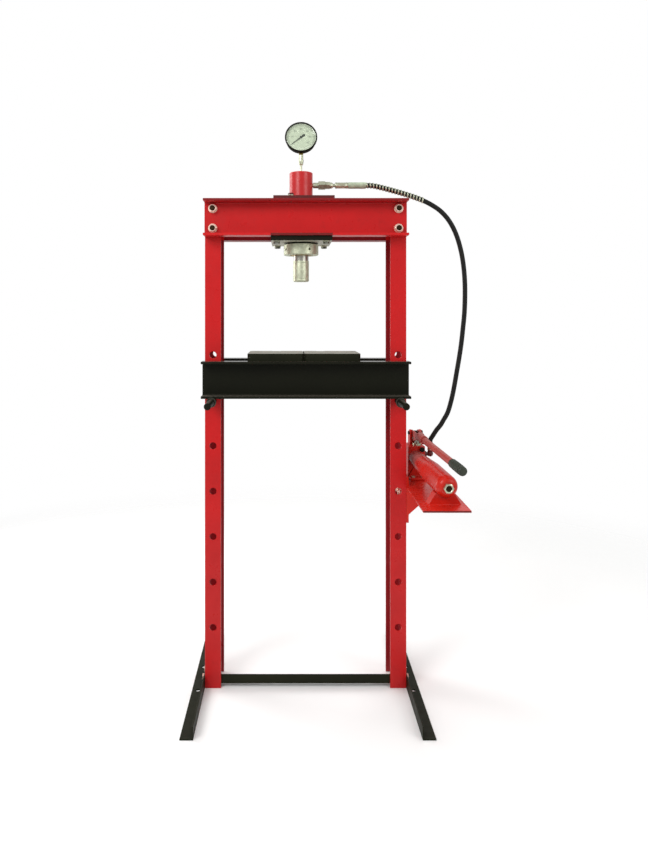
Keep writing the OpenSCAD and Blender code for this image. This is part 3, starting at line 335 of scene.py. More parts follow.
def ring_rib(radius, height, width):
    """Ring about Z whose section is a circle."""
    b = np.arange(8) * TURN / 8
    return around(radius + width / 2 * np.cos(b), height + width / 2 * np.sin(b), 64)


# ---- from shapes to pieces ----------------------------------------------


def mesh_of(name, shape):
    """Blender mesh of a shape."""
    points, faces = shape
    corners = faces >= 0
    sizes = corners.sum(axis=1)
    mesh = bpy.data.meshes.new(name)
    mesh.vertices.add(len(points))
    mesh.vertices.foreach_set("co", points.astype(np.float32).ravel())
    mesh.loops.add(int(sizes.sum()))
    mesh.loops.foreach_set("vertex_index", faces[corners].astype(np.int32))
    mesh.polygons.add(len(faces))
    mesh.polygons.foreach_set("loop_start", (np.cumsum(sizes) - sizes).astype(np.int32))
    mesh.update(calc_edges=True)
    mesh.validate()
    return mesh


def values(items, name, width=1, kind=float):
    """One property of all of a mesh's points, edges, corners or faces, as an array."""
    array = np.zeros(len(items) * width, kind)
    items.foreach_get(name, array)
    return array.reshape(-1, width) if width > 1 else array


def coat_faces(mesh, numbers):
    """Gives each face the material of its number."""
    mesh.polygons.foreach_set("material_index", np.asarray(numbers).astype(np.int32))


def linked(name, mesh, node=None, body="frame"):
    """Mesh as a piece of the scene that rides on a body, or that stands for a CAD node."""
    piece = bpy.data.objects.new(name, mesh)
    bpy.context.scene.collection.objects.link(piece)
    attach(piece, BODY_OF[node] if node else body)
    if node:
        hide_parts(node)
    return piece


def add_piece(name, shape, coats, node=None, body="frame", sharp=34):
    """Shape, or finished mesh, as a smooth piece with one finish or a tuple of several."""
    mesh = mesh_of(name, shape) if isinstance(shape, tuple) else shape
    mesh.shade_smooth()
    mesh.set_sharp_from_angle(angle=math.radians(sharp))
    mesh.materials.clear()
    for coat in coats if isinstance(coats, tuple) else (coats,):
        mesh.materials.append(finish(coat))
    return linked(name, mesh, node, body)


def stand_in(node, shape, coats, sharp=34):
    """Piece that stands for a CAD node and is named after it."""
    return add_piece(node + "_piece", shape, coats, node, sharp=sharp)


def merged(node):
    """Copy of a CAD node's mesh with its corners joined and its flat faces made whole."""
    mesh = frame["nodes"][node].data.copy()
    work = bmesh.new()
    work.from_mesh(mesh)
    bmesh.ops.remove_doubles(work, verts=work.verts, dist=1e-6)
    bmesh.ops.dissolve_limit(work, angle_limit=math.radians(0.4), verts=work.verts, edges=work.edges)
    work.to_mesh(mesh)
    work.free()
    return mesh


def softened(node, width, coat, steps=2, sharp=30):
    """CAD node as a piece with rounded edges. The rounded strips carry the value 1 in the
    attribute edge, where the paint wears first."""
    mesh, material = merged(node), finish(coat)
    mesh.shade_smooth()
    mesh.materials.clear()
    mesh.materials.append(material)
    mesh.materials.append(material)
    rough = bpy.data.objects.new(node + "_rough", mesh)
    bpy.context.scene.collection.objects.link(rough)
    bevel = rough.modifiers.new("edges", "BEVEL")
    bevel.width = width
    bevel.segments = steps
    bevel.limit_method = "ANGLE"
    bevel.angle_limit = math.radians(sharp)
    bevel.use_clamp_overlap = False
    bevel.material = 1
    rough.modifiers.new("even shading", "WEIGHTED_NORMAL").keep_sharp = True
    view = bpy.context.evaluated_depsgraph_get()
    done = bpy.data.meshes.new_from_object(rough.evaluated_get(view), depsgraph=view)
    bpy.data.objects.remove(rough)
    strips = values(done.polygons, "material_index", kind=np.int32)
    corners = values(done.polygons, "loop_total", kind=np.int32)
    worn = done.attributes.new("edge", "FLOAT", "CORNER")
    worn.data.foreach_set("value", np.repeat(strips, corners).astype(np.float32))
    coat_faces(done, 0 * strips)
    done.name = node + "_piece"
    done.materials.clear()
    done.materials.append(material)
    return linked(node + "_piece", done, node)


def repainted(piece, coat, *ways, band=(-1, 9)):
    """Gives the faces of a piece that look one of the given ways, and whose middles lie within the
    band of heights, a second finish."""
    mesh = piece.data
    mesh.materials.append(finish(coat))
    high = values(mesh.polygons, "center", 3)[:, 2]
    towards = (values(mesh.polygons, "normal", 3) @ np.transpose(ways)).max(axis=1)
    coat_faces(mesh, (towards > 0.97) & (high > band[0]) & (high < band[1]))


def outward(mesh):
    """The mesh with its faces turned outwards."""
    work = bmesh.new()
    work.from_mesh(mesh)
    bmesh.ops.recalc_face_normals(work, faces=work.faces)
    work.to_mesh(mesh)
    work.free()
    return mesh


def foot_of(node):
    """Corners of a CAD node's lowest face, in their order round its middle."""
    mesh = merged(node)
    points = values(mesh.vertices, "co", 3)
    bpy.data.meshes.remove(mesh)
    foot = points[points[:, 2] < points[:, 2].min() + 0.2 * MM]
    spread = foot - foot.mean(axis=0)
    return foot[np.argsort(np.arctan2(spread[:, 1], spread[:, 0]))]


def solids_of(node):
    """Points of each separate solid of a CAD node: every point takes the lowest number that
    reaches it along the edges."""
    mesh = merged(node)
    points = values(mesh.vertices, "co", 3)
    edges = values(mesh.edges, "vertices", 2, np.int32)
    label = np.arange(len(points))
    while True:
        low = label[edges].min(axis=1)
        new = label.copy()
        np.minimum.at(new, edges[:, 0], low)
        np.minimum.at(new, edges[:, 1], low)
        new = new[new]
        if (new == label).all():
            break
        label = new
    bpy.data.meshes.remove(mesh)
    return [points[label == n] for n in np.unique(label)]


# ---- finishes -----------------------------------------------------------

# Sockets of the Mix node in its colour form
FACTOR, COLOUR_A, COLOUR_B = 0, 6, 7


def linear(code):
    """Linear RGBA of an sRGB hex colour."""
    parts = np.array([int(code[i : i + 2], 16) for i in (1, 3, 5)]) / 255
    rgb = np.where(parts <= 0.04045, parts / 12.92, ((parts + 0.055) / 1.055) ** 2.4)
    return (*rgb.tolist(), 1.0)


def shaded(colour, share):
    """The colour made darker by a share, as a list of four."""
    return [c * (1 - share) for c in colour[:3]] + [1.0]


def add(tree, kind, inputs=(), **settings):
    """Adds a shader node: settings are its properties, inputs its sockets' values or links, by
    their names or in their order. A node given for one is linked from its first output in use."""
    made = tree.nodes.new("ShaderNode" + kind)
    for key, value in settings.items():
        setattr(made, key, value)
    for key, value in inputs.items() if isinstance(inputs, dict) else enumerate(inputs):
        if isinstance(value, bpy.types.Node):
            value = next(socket for socket in value.outputs if socket.enabled)
        if isinstance(value, bpy.types.NodeSocket):
            tree.links.new(value, made.inputs[key])
        else:
            made.inputs[key].default_value = value
    return made


def emptied(owner):
    """Node tree of a material or a world, without the nodes it comes with."""
    owner.use_nodes = True
    owner.node_tree.nodes.clear()
    return owner.node_tree


def material_of(name, maker, *given):
    """Material whose shader a maker builds, on the coordinates of the object."""
    material = bpy.data.materials.new(name)
    tree = emptied(material)
    where = add(tree, "TexCoord").outputs["Object"]
    add(tree, "OutputMaterial", {"Surface": maker(tree, where, *given)})
    return material


def inside_box(tree, where, low, high, soft):
    """Node that gives 1 inside a box, in metres, and falls to 0 over the soft distance: the
    greatest of the distances beyond its sides."""
    middle, half = (np.add(low, high) / 2).tolist(), (np.subtract(high, low) / 2).tolist()
    off = add(tree, "VectorMath", (where, middle), operation="SUBTRACT")
    off = add(tree, "VectorMath", (off,), operation="ABSOLUTE")
    off = add(tree, "VectorMath", (off, half), operation="SUBTRACT")
    off = add(tree, "SeparateXYZ", (off,)).outputs
    most = add(tree, "Math", (off[0], off[1]), operation="MAXIMUM")
    most = add(tree, "Math", (most, off[2]), operation="MAXIMUM")
    return add(tree, "MapRange", (most, 0.0, soft, 1.0, 0.0))


def sprayed_enamel(
    tree, where, colour, shade, gloss=0.32, shine=0.5, peel=0.5, dust=0.0, chips=0.5, foot_shade=0.0, spots=()
):
    """Gloss enamel sprayed over hot-rolled steel: broad tone changes from an uneven coat, the
    orange peel of sprayed paint, bare primer where the edges have been knocked, a painted shade
    that darkens the foot, and spots of another colour, most of them painted shade, each a colour,
    the two corners of its box and its soft margin."""
    # Clouds of 140 mm in the coat's thickness, and smudges of 25 mm from handling
    clouds = add(tree, "TexNoise", {"Vector": where, "Scale": 1 / 0.14, "Detail": 3.0, "Roughness": 0.5})
    smudges = add(tree, "TexNoise", {"Vector": where, "Scale": 1 / 0.025, "Detail": 4.0, "Roughness": 0.6})
    tone = add(tree, "MapRange", (clouds, 0.3, 0.7, 0.0, 1.0))
    marks = add(tree, "MapRange", (smudges, 0.58, 0.75, 0.0, 0.35))
    # Painted shade, darker towards the floor: it reaches 0.9 m up and is full at 0.3 m
    height = add(tree, "SeparateXYZ", (where,)).outputs["Z"]
    low = add(tree, "MapRange", (height, 0.3, 0.9, foot_shade, 0.0))
    # Pale dust of 8 mm grain lies on faces that look up
    up = add(tree, "SeparateXYZ", (add(tree, "NewGeometry").outputs["Normal"],)).outputs["Z"]
    grain = add(tree, "TexNoise", {"Vector": where, "Scale": 1 / 0.008, "Detail": 3.0})
    lies = add(tree, "MapRange", (up, 0.8, 1.0, 0.0, dust))
    patchy = add(tree, "Math", (lies, grain), operation="MULTIPLY")
    # Chips of 6 mm along the edges only
    edge = add(tree, "Attribute", attribute_name="edge").outputs["Fac"]
    flakes = add(tree, "TexNoise", {"Vector": where, "Scale": 1 / 0.006, "Detail": 5.0, "Roughness": 0.7})
    chip = add(tree, "MapRange", (flakes, 0.62, 0.66, 0.0, chips))
    worn = add(tree, "Math", (chip, edge), operation="MULTIPLY")
    # From the uneven coat to what lies on it: each share of a colour covers the ones before
    layers = [
        (tone, shaded(colour, shade)),
        (marks, shaded(colour, min(0.9, 2.2 * shade))),
        (low, linear("#14100c")),
        *((inside_box(tree, where, near, far, soft), tint) for tint, near, far, soft in spots),
        (patchy, linear("#8e857a")),
        (worn, linear("#6f6a62")),
    ]
    coat = [*colour[:3], 1.0]
    for share, tint in layers:
        coat = add(tree, "Mix", {FACTOR: share, COLOUR_A: coat, COLOUR_B: tint}, data_type="RGBA")
    rough = add(tree, "MapRange", (smudges, 0.3, 0.7, gloss - 0.05, gloss + 0.1))
    # Orange peel of 3 mm, 0.06 mm deep at full strength, over the 40 mm waves of rolled steel
    waves = add(tree, "TexNoise", {"Vector": where, "Scale": 1 / 0.04, "Detail": 2.0})
    rolled = add(tree, "Bump", {"Strength": 0.5, "Distance": 0.0004, "Height": waves})
    pores = add(tree, "TexNoise", {"Vector": where, "Scale": 1 / 0.003, "Detail": 1.0})
    bump = add(tree, "Bump", {"Strength": peel, "Distance": 0.00006, "Height": pores, "Normal": rolled})
    look = {"Base Color": coat, "Roughness": rough, "Specular IOR Level": shine, "Normal": bump}
    return add(tree, "BsdfPrincipled", look)


def zinc_plate(tree, where, colour, tarnish, gloss=0.3):
    """Electroplated zinc with a yellow chromate: straw and grey clouds over a metal that is
    bright but not mirror-like, with fine handling scratches."""
    # Chromate clouds of 12 mm, and drying spots of 3 mm
    clouds = add(tree, "TexNoise", {"Vector": where, "Scale": 1 / 0.012, "Detail": 3.0, "Distortion": 0.6})
    spots = add(tree, "TexNoise", {"Vector": where, "Scale": 1 / 0.003, "Detail": 2.0})
    tone = add(tree, "MapRange", (clouds, 0.35, 0.7, 0.0, 1.0))
    base = add(tree, "Mix", {FACTOR: tone, COLOUR_A: colour, COLOUR_B: tarnish}, data_type="RGBA")
    rough = add(tree, "MapRange", (spots, 0.3, 0.7, gloss - 0.06, gloss + 0.12))
    # Scratches: noise drawn out 12 times along one slant
    slant = add(tree, "Mapping", {"Vector": where, "Rotation": (0.4, 0.7, 0.2), "Scale": (1.0, 1.0, 0.08)})
    lines = add(tree, "TexNoise", {"Vector": slant, "Scale": 1 / 0.0015, "Detail": 2.0})
    bump = add(tree, "Bump", {"Strength": 0.25, "Distance": 0.00005, "Height": lines})
    look = {"Base Color": base, "Metallic": 0.85, "Roughness": rough, "Normal": bump}
    return add(tree, "BsdfPrincipled", look)


def ground_steel(tree, where, colour, pitch=0.0014, gloss=0.24):
    """Turned and ground steel: fine rings left by the tool, which stretch the highlights, with
    faint oil stains."""
    stains = add(tree, "TexNoise", {"Vector": where, "Scale": 1 / 0.03, "Detail": 4.0})
    tone = add(tree, "MapRange", (stains, 0.4, 0.75, 0.0, 1.0))
    oily = shaded(colour, 0.35)
    base = add(tree, "Mix", {FACTOR: tone, COLOUR_A: colour, COLOUR_B: oily}, data_type="RGBA")
    # Tool rings of the given pitch across Z, coarser than real ones so that they show
    wave = {"Vector": where, "Scale": 1 / pitch / TURN * 2, "Distortion": 0.4, "Detail": 1.0}
    rings = add(tree, "TexWave", wave, wave_type="BANDS", bands_direction="Z").outputs["Fac"]
    bump = add(tree, "Bump", {"Strength": 0.12, "Distance": 0.00004, "Height": rings})
    rough = add(tree, "MapRange", (stains, 0.3, 0.7, gloss - 0.04, gloss + 0.12))
    look = {"Base Color": base, "Metallic": 1.0, "Roughness": rough, "Normal": bump}
    return add(tree, "BsdfPrincipled", look)


def moulded_rubber(tree, where, colour, grain=0.0016, gloss=0.55, depth=0.00012):
    """Moulded rubber: matt, greyish where it has been gripped, with a fine leathery grain."""
    bloom = add(tree, "TexNoise", {"Vector": where, "Scale": 1 / 0.02, "Detail": 4.0})
    tone = add(tree, "MapRange", (bloom, 0.4, 0.75, 0.0, 0.6))
    gripped = [min(1, c * 1.9) for c in colour[:3]] + [1.0]
    base = add(tree, "Mix", {FACTOR: tone, COLOUR_A: colour, COLOUR_B: gripped}, data_type="RGBA")
    cells = add(tree, "TexVoronoi", {"Vector": where, "Scale": 1 / grain}, feature="SMOOTH_F1")
    bump = add(tree, "Bump", {"Strength": 0.5, "Distance": depth, "Height": cells})
    rough = add(tree, "MapRange", (bloom, 0.3, 0.7, gloss, gloss + 0.15))
    look = {"Base Color": base, "Roughness": rough, "Specular IOR Level": 0.35, "Normal": bump}
    return add(tree, "BsdfPrincipled", look)


def wrapped_hose(tree, where, colour, wrap):
    """Hydraulic hose cover, cured under a spiral of cloth tape: black rubber with the print of
    the cloth's threads and a faint step each turn of the tape."""
    along = add(tree, "UVMap", uv_map="along")
    # Threads of 1.6 mm cross at 45 degrees; the tape's edge comes back every 30 mm
    bands = []
    waves = ((TURN / 8, 0.0016, "SIN"), (-TURN / 8, 0.0016, "SIN"), (0.5, 0.03, "SAW"))
    for turn, pitch, profile in waves:
        slant = add(tree, "Mapping", {"Vector": along, "Rotation": (0, 0, turn)})
        wave = {"Vector": slant, "Scale": 1 / pitch / TURN * 2}
        band = add(tree, "TexWave", wave, wave_type="BANDS", bands_direction="X", wave_profile=profile)
        bands.append(band.outputs["Fac"])
    cloth = add(tree, "Math", (bands[0], bands[1]), operation="MULTIPLY")
    tape = add(tree, "Bump", {"Strength": 0.5, "Distance": 0.0003, "Height": bands[2]})
    bump = add(tree, "Bump", {"Strength": 0.4, "Distance": 0.00015, "Height": cloth, "Normal": tape})
    scuffs = add(tree, "TexNoise", {"Vector": where, "Scale": 1 / 0.03, "Detail": 5.0})
    tone = add(tree, "MapRange", (scuffs, 0.5, 0.8, 0.0, 0.5))
    base = add(tree, "Mix", {FACTOR: tone, COLOUR_A: colour, COLOUR_B: wrap}, data_type="RGBA")
    rough = add(tree, "MapRange", (scuffs, 0.3, 0.7, 0.42, 0.6))
    look = {"Base Color": base, "Roughness": rough, "Specular IOR Level": 0.22, "Normal": bump}
    return add(tree, "BsdfPrincipled", look)


def printed_card(tree, where, colour):
    """Painted tin dial under glass: an even, faintly green white with a satin grain."""
    grain = add(tree, "TexNoise", {"Vector": where, "Scale": 1 / 0.012, "Detail": 3.0})
    tone = add(tree, "MapRange", (grain, 0.35, 0.7, 0.0, 1.0))
    aged = shaded(colour, 0.1)
    base = add(tree, "Mix", {FACTOR: tone, COLOUR_A: colour, COLOUR_B: aged}, data_type="RGBA")
    fine = add(tree, "TexNoise", {"Vector": where, "Scale": 1 / 0.0008, "Detail": 1.0})
    bump = add(tree, "Bump", {"Strength": 0.2, "Distance": 0.00002, "Height": fine})
    return add(tree, "BsdfPrincipled", {"Base Color": base, "Roughness": 0.45, "Normal": bump})


def window_glass(tree, where, tint):
    """Float glass of the gauge: clear, with a breath of dust on it."""
    breath = add(tree, "TexNoise", {"Vector": where, "Scale": 1 / 0.01, "Detail": 4.0})
    rough = add(tree, "MapRange", (breath, 0.4, 0.8, 0.01, 0.08))
    look = {"Base Color": tint, "Roughness": rough, "IOR": 1.45, "Transmission Weight": 1.0}
    glass = add(tree, "BsdfPrincipled", look)
    clear = add(tree, "BsdfTransparent", {"Color": tint})
    # Light passes straight through, so that the dial isn't left in a shadow
    path = add(tree, "LightPath").outputs
    light = (path["Is Shadow Ray"], path["Is Diffuse Ray"])
    straight = add(tree, "Math", light, operation="MAXIMUM")
    return add(tree, "MixShader", (straight, glass, clear))


def pale_floor(tree, where, colour, radius):
    """Studio floor of pale painted board that fades into the backdrop towards its rim."""
    far = add(tree, "VectorMath", (where,), operation="LENGTH").outputs["Value"]
    reach = (far, radius * 0.45, radius * 0.9, 0.0, 1.0)
    fade = add(tree, "MapRange", reach, interpolation_type="SMOOTHSTEP")
    board = add(tree, "TexNoise", {"Vector": where, "Scale": 1 / 0.5, "Detail": 2.0})
    tone = add(tree, "MapRange", (board, 0.3, 0.7, 0.0, 1.0))
    darker = shaded(colour, 0.012)
    base = add(tree, "Mix", {FACTOR: tone, COLOUR_A: colour, COLOUR_B: darker}, data_type="RGBA")
    paint = add(tree, "BsdfDiffuse", {"Color": base})
    return add(tree, "MixShader", (fade, paint, add(tree, "BsdfTransparent")))


# ---- settings -----------------------------------------------------------


def colour_prop(name, description, code):
    """Colour with the hex code as its first value."""
    return bpy.props.FloatVectorProperty(
        name=name, description=description, subtype="COLOR", size=3, min=0, max=1, default=linear(code)[:3]
    )


def size_prop(name, description, value):
    """Length in metres that isn't below zero."""
    return bpy.props.FloatProperty(
        name=name, description=description, subtype="DISTANCE", unit="LENGTH", min=0, default=value
    )


def angle_prop(name, description, degrees):
    """Angle, given in degrees."""
    return bpy.props.FloatProperty(
        name=name, description=description, subtype="ANGLE", default=math.radians(degrees)
    )


class PressPaint(bpy.types.PropertyGroup):
    """Colours of the press"""

    red: colour_prop("Red enamel", "Gloss paint of the frame, cylinder and pump", "#c8181a")
    pump_red: colour_prop("Pump red", "Paint of the pump and its bracket", "#cd2316")
    # The pale red of the lever and the pump's neck is a painted sheen
    worn_red: colour_prop("Sheen red", "Pale red of the lever and the pump's neck, a painted sheen", "#b4443c")
    dark_red: colour_prop("Dark red", "Paint of the plate on the head and the pump's elbow", "#5a1311")
    black: colour_prop("Black enamel", "Paint of the bed and the plate under the head", "#131409")
    olive: colour_prop("Olive black", "Paint of the feet and the press plates", "#1f2114")
    zinc: colour_prop("Zinc", "Chromated zinc of the nuts and fittings", "#ccd1b8")
    tarnish: colour_prop("Tarnish", "Darker clouds in the zinc", "#b3b69d")
    steel: colour_prop("Steel", "Ground steel of the ram", "#b3b1a6")
    rubber: colour_prop("Rubber", "Hose cover and seals", "#10110f")
    grip: colour_prop("Grip", "Rubber of the lever's grip", "#2c3127")
    sleeve: colour_prop("Sleeve", "Plastic sleeve behind the hose's upper end", "#98a48d")
    dial: colour_prop("Dial", "Face of the gauge", "#d8d9cd")
    ink: colour_prop("Ink", "Scale and pointer of the gauge", "#2c302b")


class PressEdges(bpy.types.PropertyGroup):
    """Edge roundings"""

    rolled: size_prop("Rolled edges", "Rounding of the rolled channels and angles", 1.5 * MM)
    cut: size_prop("Cut edges", "Rounding of sawn and ground plates", 0.8 * MM)
    cast: size_prop("Cast edges", "Rounding of the pump's casting", 2.2 * MM)
    turned: size_prop("Turned edges", "Rounding of lathe-turned pieces", 0.7 * MM)
    weld: size_prop("Weld width", "Width of the weld beads", 6 * MM)


class PressHose(bpy.types.PropertyGroup):
    """Hose and its spring guard"""

    diameter: size_prop("Hose diameter", "Outer diameter of the hose", 16 * MM)
    guard: size_prop("Guard diameter", "Outer diameter of the spring guard", 20 * MM)
    wire: size_prop("Guard wire", "Width of the guard's flat wire", 4.4 * MM)
    pitch: size_prop("Guard pitch", "Distance between the guard's turns", 10.8 * MM)


class PressGauge(bpy.types.PropertyGroup):
    """Scale of the gauge"""

    steps: bpy.props.IntProperty(
        name="Numbers", description="Numbered steps on the dial", default=6, min=2, max=12
    )
    step: bpy.props.IntProperty(
        name="Step", description="Difference between two numbers", default=10, min=1
    )
    start: angle_prop("Zero", "Direction of zero on the dial", 219)
    sweep: angle_prop("Sweep", "Angle of the whole scale", 258)


class PressStage(bpy.types.PropertyGroup):
    """Camera, lights and floor"""

    distance: size_prop("Camera distance", "From the press's middle to the camera", 2.46)
    height: size_prop("Camera height", "Height of the camera above the floor", 1.232)
    aside: bpy.props.FloatProperty(
        name="Camera aside", description="Sideways place of the camera", subtype="DISTANCE", default=-0.054
    )
    lens: bpy.props.FloatProperty(name="Lens", description="Focal length in mm", default=30.3, min=1)
    roll: angle_prop("Roll", "Turn of the camera about its view", 0)
    shift_x: bpy.props.FloatProperty(
        name="Shift X", description="Sideways shift of the view", default=0.0402
    )
    shift_y: bpy.props.FloatProperty(
        name="Shift Y", description="Upward shift of the view", default=-0.1354
    )
    floor: colour_prop("Floor", "Colour of the floor", "#f6f6f5")
    floor_radius: size_prop("Floor radius", "Radius of the round floor", 3.2)


SETTINGS = {
    "press_paint": PressPaint,
    "press_edges": PressEdges,
    "press_hose": PressHose,
    "press_gauge": PressGauge,
    "press_stage": PressStage,
}


def finish(name):
    """The named finish, made on its first use."""
    done = bpy.data.materials.get(name)
    if done:
        return done
    paint = bpy.context.scene.press_paint
    rgba = {key: (*getattr(paint, key), 1.0) for key in PressPaint.__annotations__}
    # The head's channels stand between these heights; their webs face the middle at this depth
    foot, top, web = 1.49, 1.61, 0.06
    # On them, in turn: painted shade on the front edge of the upper flange, a lighter painted shade
    # on the underside of that flange, a darker strip on the lower flange's edge in front of the bottom
    # plate, and painted shade between the channels, on the rear one's web and then along its foot
    spots = (
        (linear("#7c1517"), (-1, -1, top - 0.0075), (1, -0.112, top + 0.002), 0.001),
        (linear("#9c181a"), (-1, -0.2, top - 0.01), (1, -0.05, top - 0.0082), 0.0004),
        (linear("#701a1a"), (-0.114, -0.12, foot - 0.01), (0.086, -0.108, foot + 0.007), 0.001),
        (linear("#82181f"), (-1, web - 0.01, foot - 0.01), (1, web + 0.0005, top - 0.01), 0.002),
        (linear("#82181f"), (-1, web - 0.01, foot - 0.01), (1, 0.108, foot + 0.0035), 0.002),
    )
    # On the uprights, below the head: painted shade on the inner side of the rear flanges
    upright_shade = ((linear("#8c1c22"), (-1, 0.045, 0), (1, 0.056, foot), 0.002),)
    makers = {
        # The uprights' red holds painted shade: darker towards the floor, and on the rear flanges' inner sides
        "Red gloss enamel": (sprayed_enamel, rgba["red"], 0.16, 0.3, 0.26, 0.5, 0.0, 0.8, 0.12, upright_shade),
        # The head's red holds the painted shade of these spots
        "Head enamel": (sprayed_enamel, rgba["red"], 0.16, 0.3, 0.26, 0.5, 0.0, 0.8, 0.0, spots),
        "Barrel enamel": (sprayed_enamel, rgba["red"], 0.16, 0.3, 0.5, 0.2, 0.0, 0.5),
        "Pump enamel": (sprayed_enamel, rgba["pump_red"], 0.2, 0.26, 0.3, 0.4, 0.0, 0.8),
        # Its pale red is a painted sheen; its chips and dust are wear
        "Thin worn enamel": (sprayed_enamel, rgba["worn_red"], 0.3, 0.42, 0.45, 0.8, 0.25, 0.9),
        "Dark red enamel": (sprayed_enamel, rgba["dark_red"], 0.3, 0.36, 0.4, 0.5, 0.2, 0.8),
        "Black satin enamel": (sprayed_enamel, rgba["black"], 0.25, 0.42, 0.12, 0.6, 0.5, 0.7),
        "Rubbed black enamel": (sprayed_enamel, rgba["black"], 0.25, 0.2, 0.6, 0.3, 0.3, 0.7),
        "Matt black enamel": (sprayed_enamel, rgba["black"], 0.25, 0.62, 0.12, 0.6, 0.0, 0.3),
        "Olive black enamel": (sprayed_enamel, rgba["olive"], 0.3, 0.5, 0.1, 0.8, 0.03, 0.8),
        "Chromated zinc": (zinc_plate, rgba["zinc"], rgba["tarnish"], 0.3),
        "Turned zinc": (zinc_plate, rgba["zinc"], rgba["tarnish"], 0.42),
        "Tarnished zinc": (zinc_plate, linear("#85867a"), linear("#57574d"), 0.4),
        # Dark zinc: painted shade on the washers of the bed's pins
        "Zinc darkened by painted shade": (zinc_plate, linear("#4e4f46"), linear("#2f3029"), 0.4),
        "Bright zinc": (zinc_plate, linear("#f3d4c4"), linear("#dcb6a4"), 0.4),
        "Ground steel": (ground_steel, rgba["steel"]),
        "Turned brass": (ground_steel, linear("#b89b55")),
        "Hose cover": (wrapped_hose, rgba["rubber"], linear("#262722")),
        "Seal rubber": (moulded_rubber, rgba["rubber"]),
        "Grip rubber": (moulded_rubber, rgba["grip"], 0.0024, 0.5, 0.0003),
        "Sleeve plastic": (moulded_rubber, rgba["sleeve"], 0.004, 0.3, 0.00004),
        "Tin dial": (printed_card, rgba["dial"]),
        "Dial ink": (sprayed_enamel, rgba["ink"], 0.1, 0.5, 0.3, 0.2, 0.0, 0.0),
        "Scale ink": (sprayed_enamel, linear("#6b706a"), 0.1, 0.5, 0.3, 0.2, 0.0, 0.0),
        "Float glass": (window_glass, linear("#f2f7f0")),
        # Dark oil on the return spring, and painted shade on the floor of the vent's recess
        "Dark oil": (ground_steel, linear("#33271b"), 0.002, 0.2),
        "Bare plate": (ground_steel, linear("#b9b7a9"), 0.003, 0.5),
        "Blackened steel": (ground_steel, linear("#3a2c1e"), 0.002, 0.45),
    }
    return material_of(name, *makers[name])


# ---- the press, from the stage to the smallest screw --------------------

# Centre line of the hose, from its sleeve at the cylinder to the ferrule on the pump
HOSE_ROUTE = [
    (206.1, 0, 1670), (216, 0, 1670), (235, 0, 1668), (265, 0, 1661), (295, 0, 1653),
    (330, 0, 1643), (365, 1, 1632), (400, 2, 1619), (430, 4, 1604), (457, 6, 1586),
    (480, 8, 1563), (498, 10, 1537), (513, 13, 1507), (525, 16, 1473), (535, 19, 1433),
    (542, 22, 1388), (546, 25, 1340), (547, 28, 1290), (546, 32, 1238), (542, 36, 1186),
    (537, 39, 1134), (530, 42, 1082), (522, 46, 1030), (514, 49, 980), (505, 52, 935),
    (494, 56, 895), (480, 59, 868), (470, 61, 850), (457, 64, 833), (446, 66, 815),
]  # fmt: skip
# The route's last two points, over the pump's outlet in the pump's own frame
HOSE_FOOT = [(58, -6, 55), (58, -6, 41.1)]
# Points of the smooth curve in each span of the route, and the route's points in the spring guard
PER_SPAN, GUARDED = 12, 8


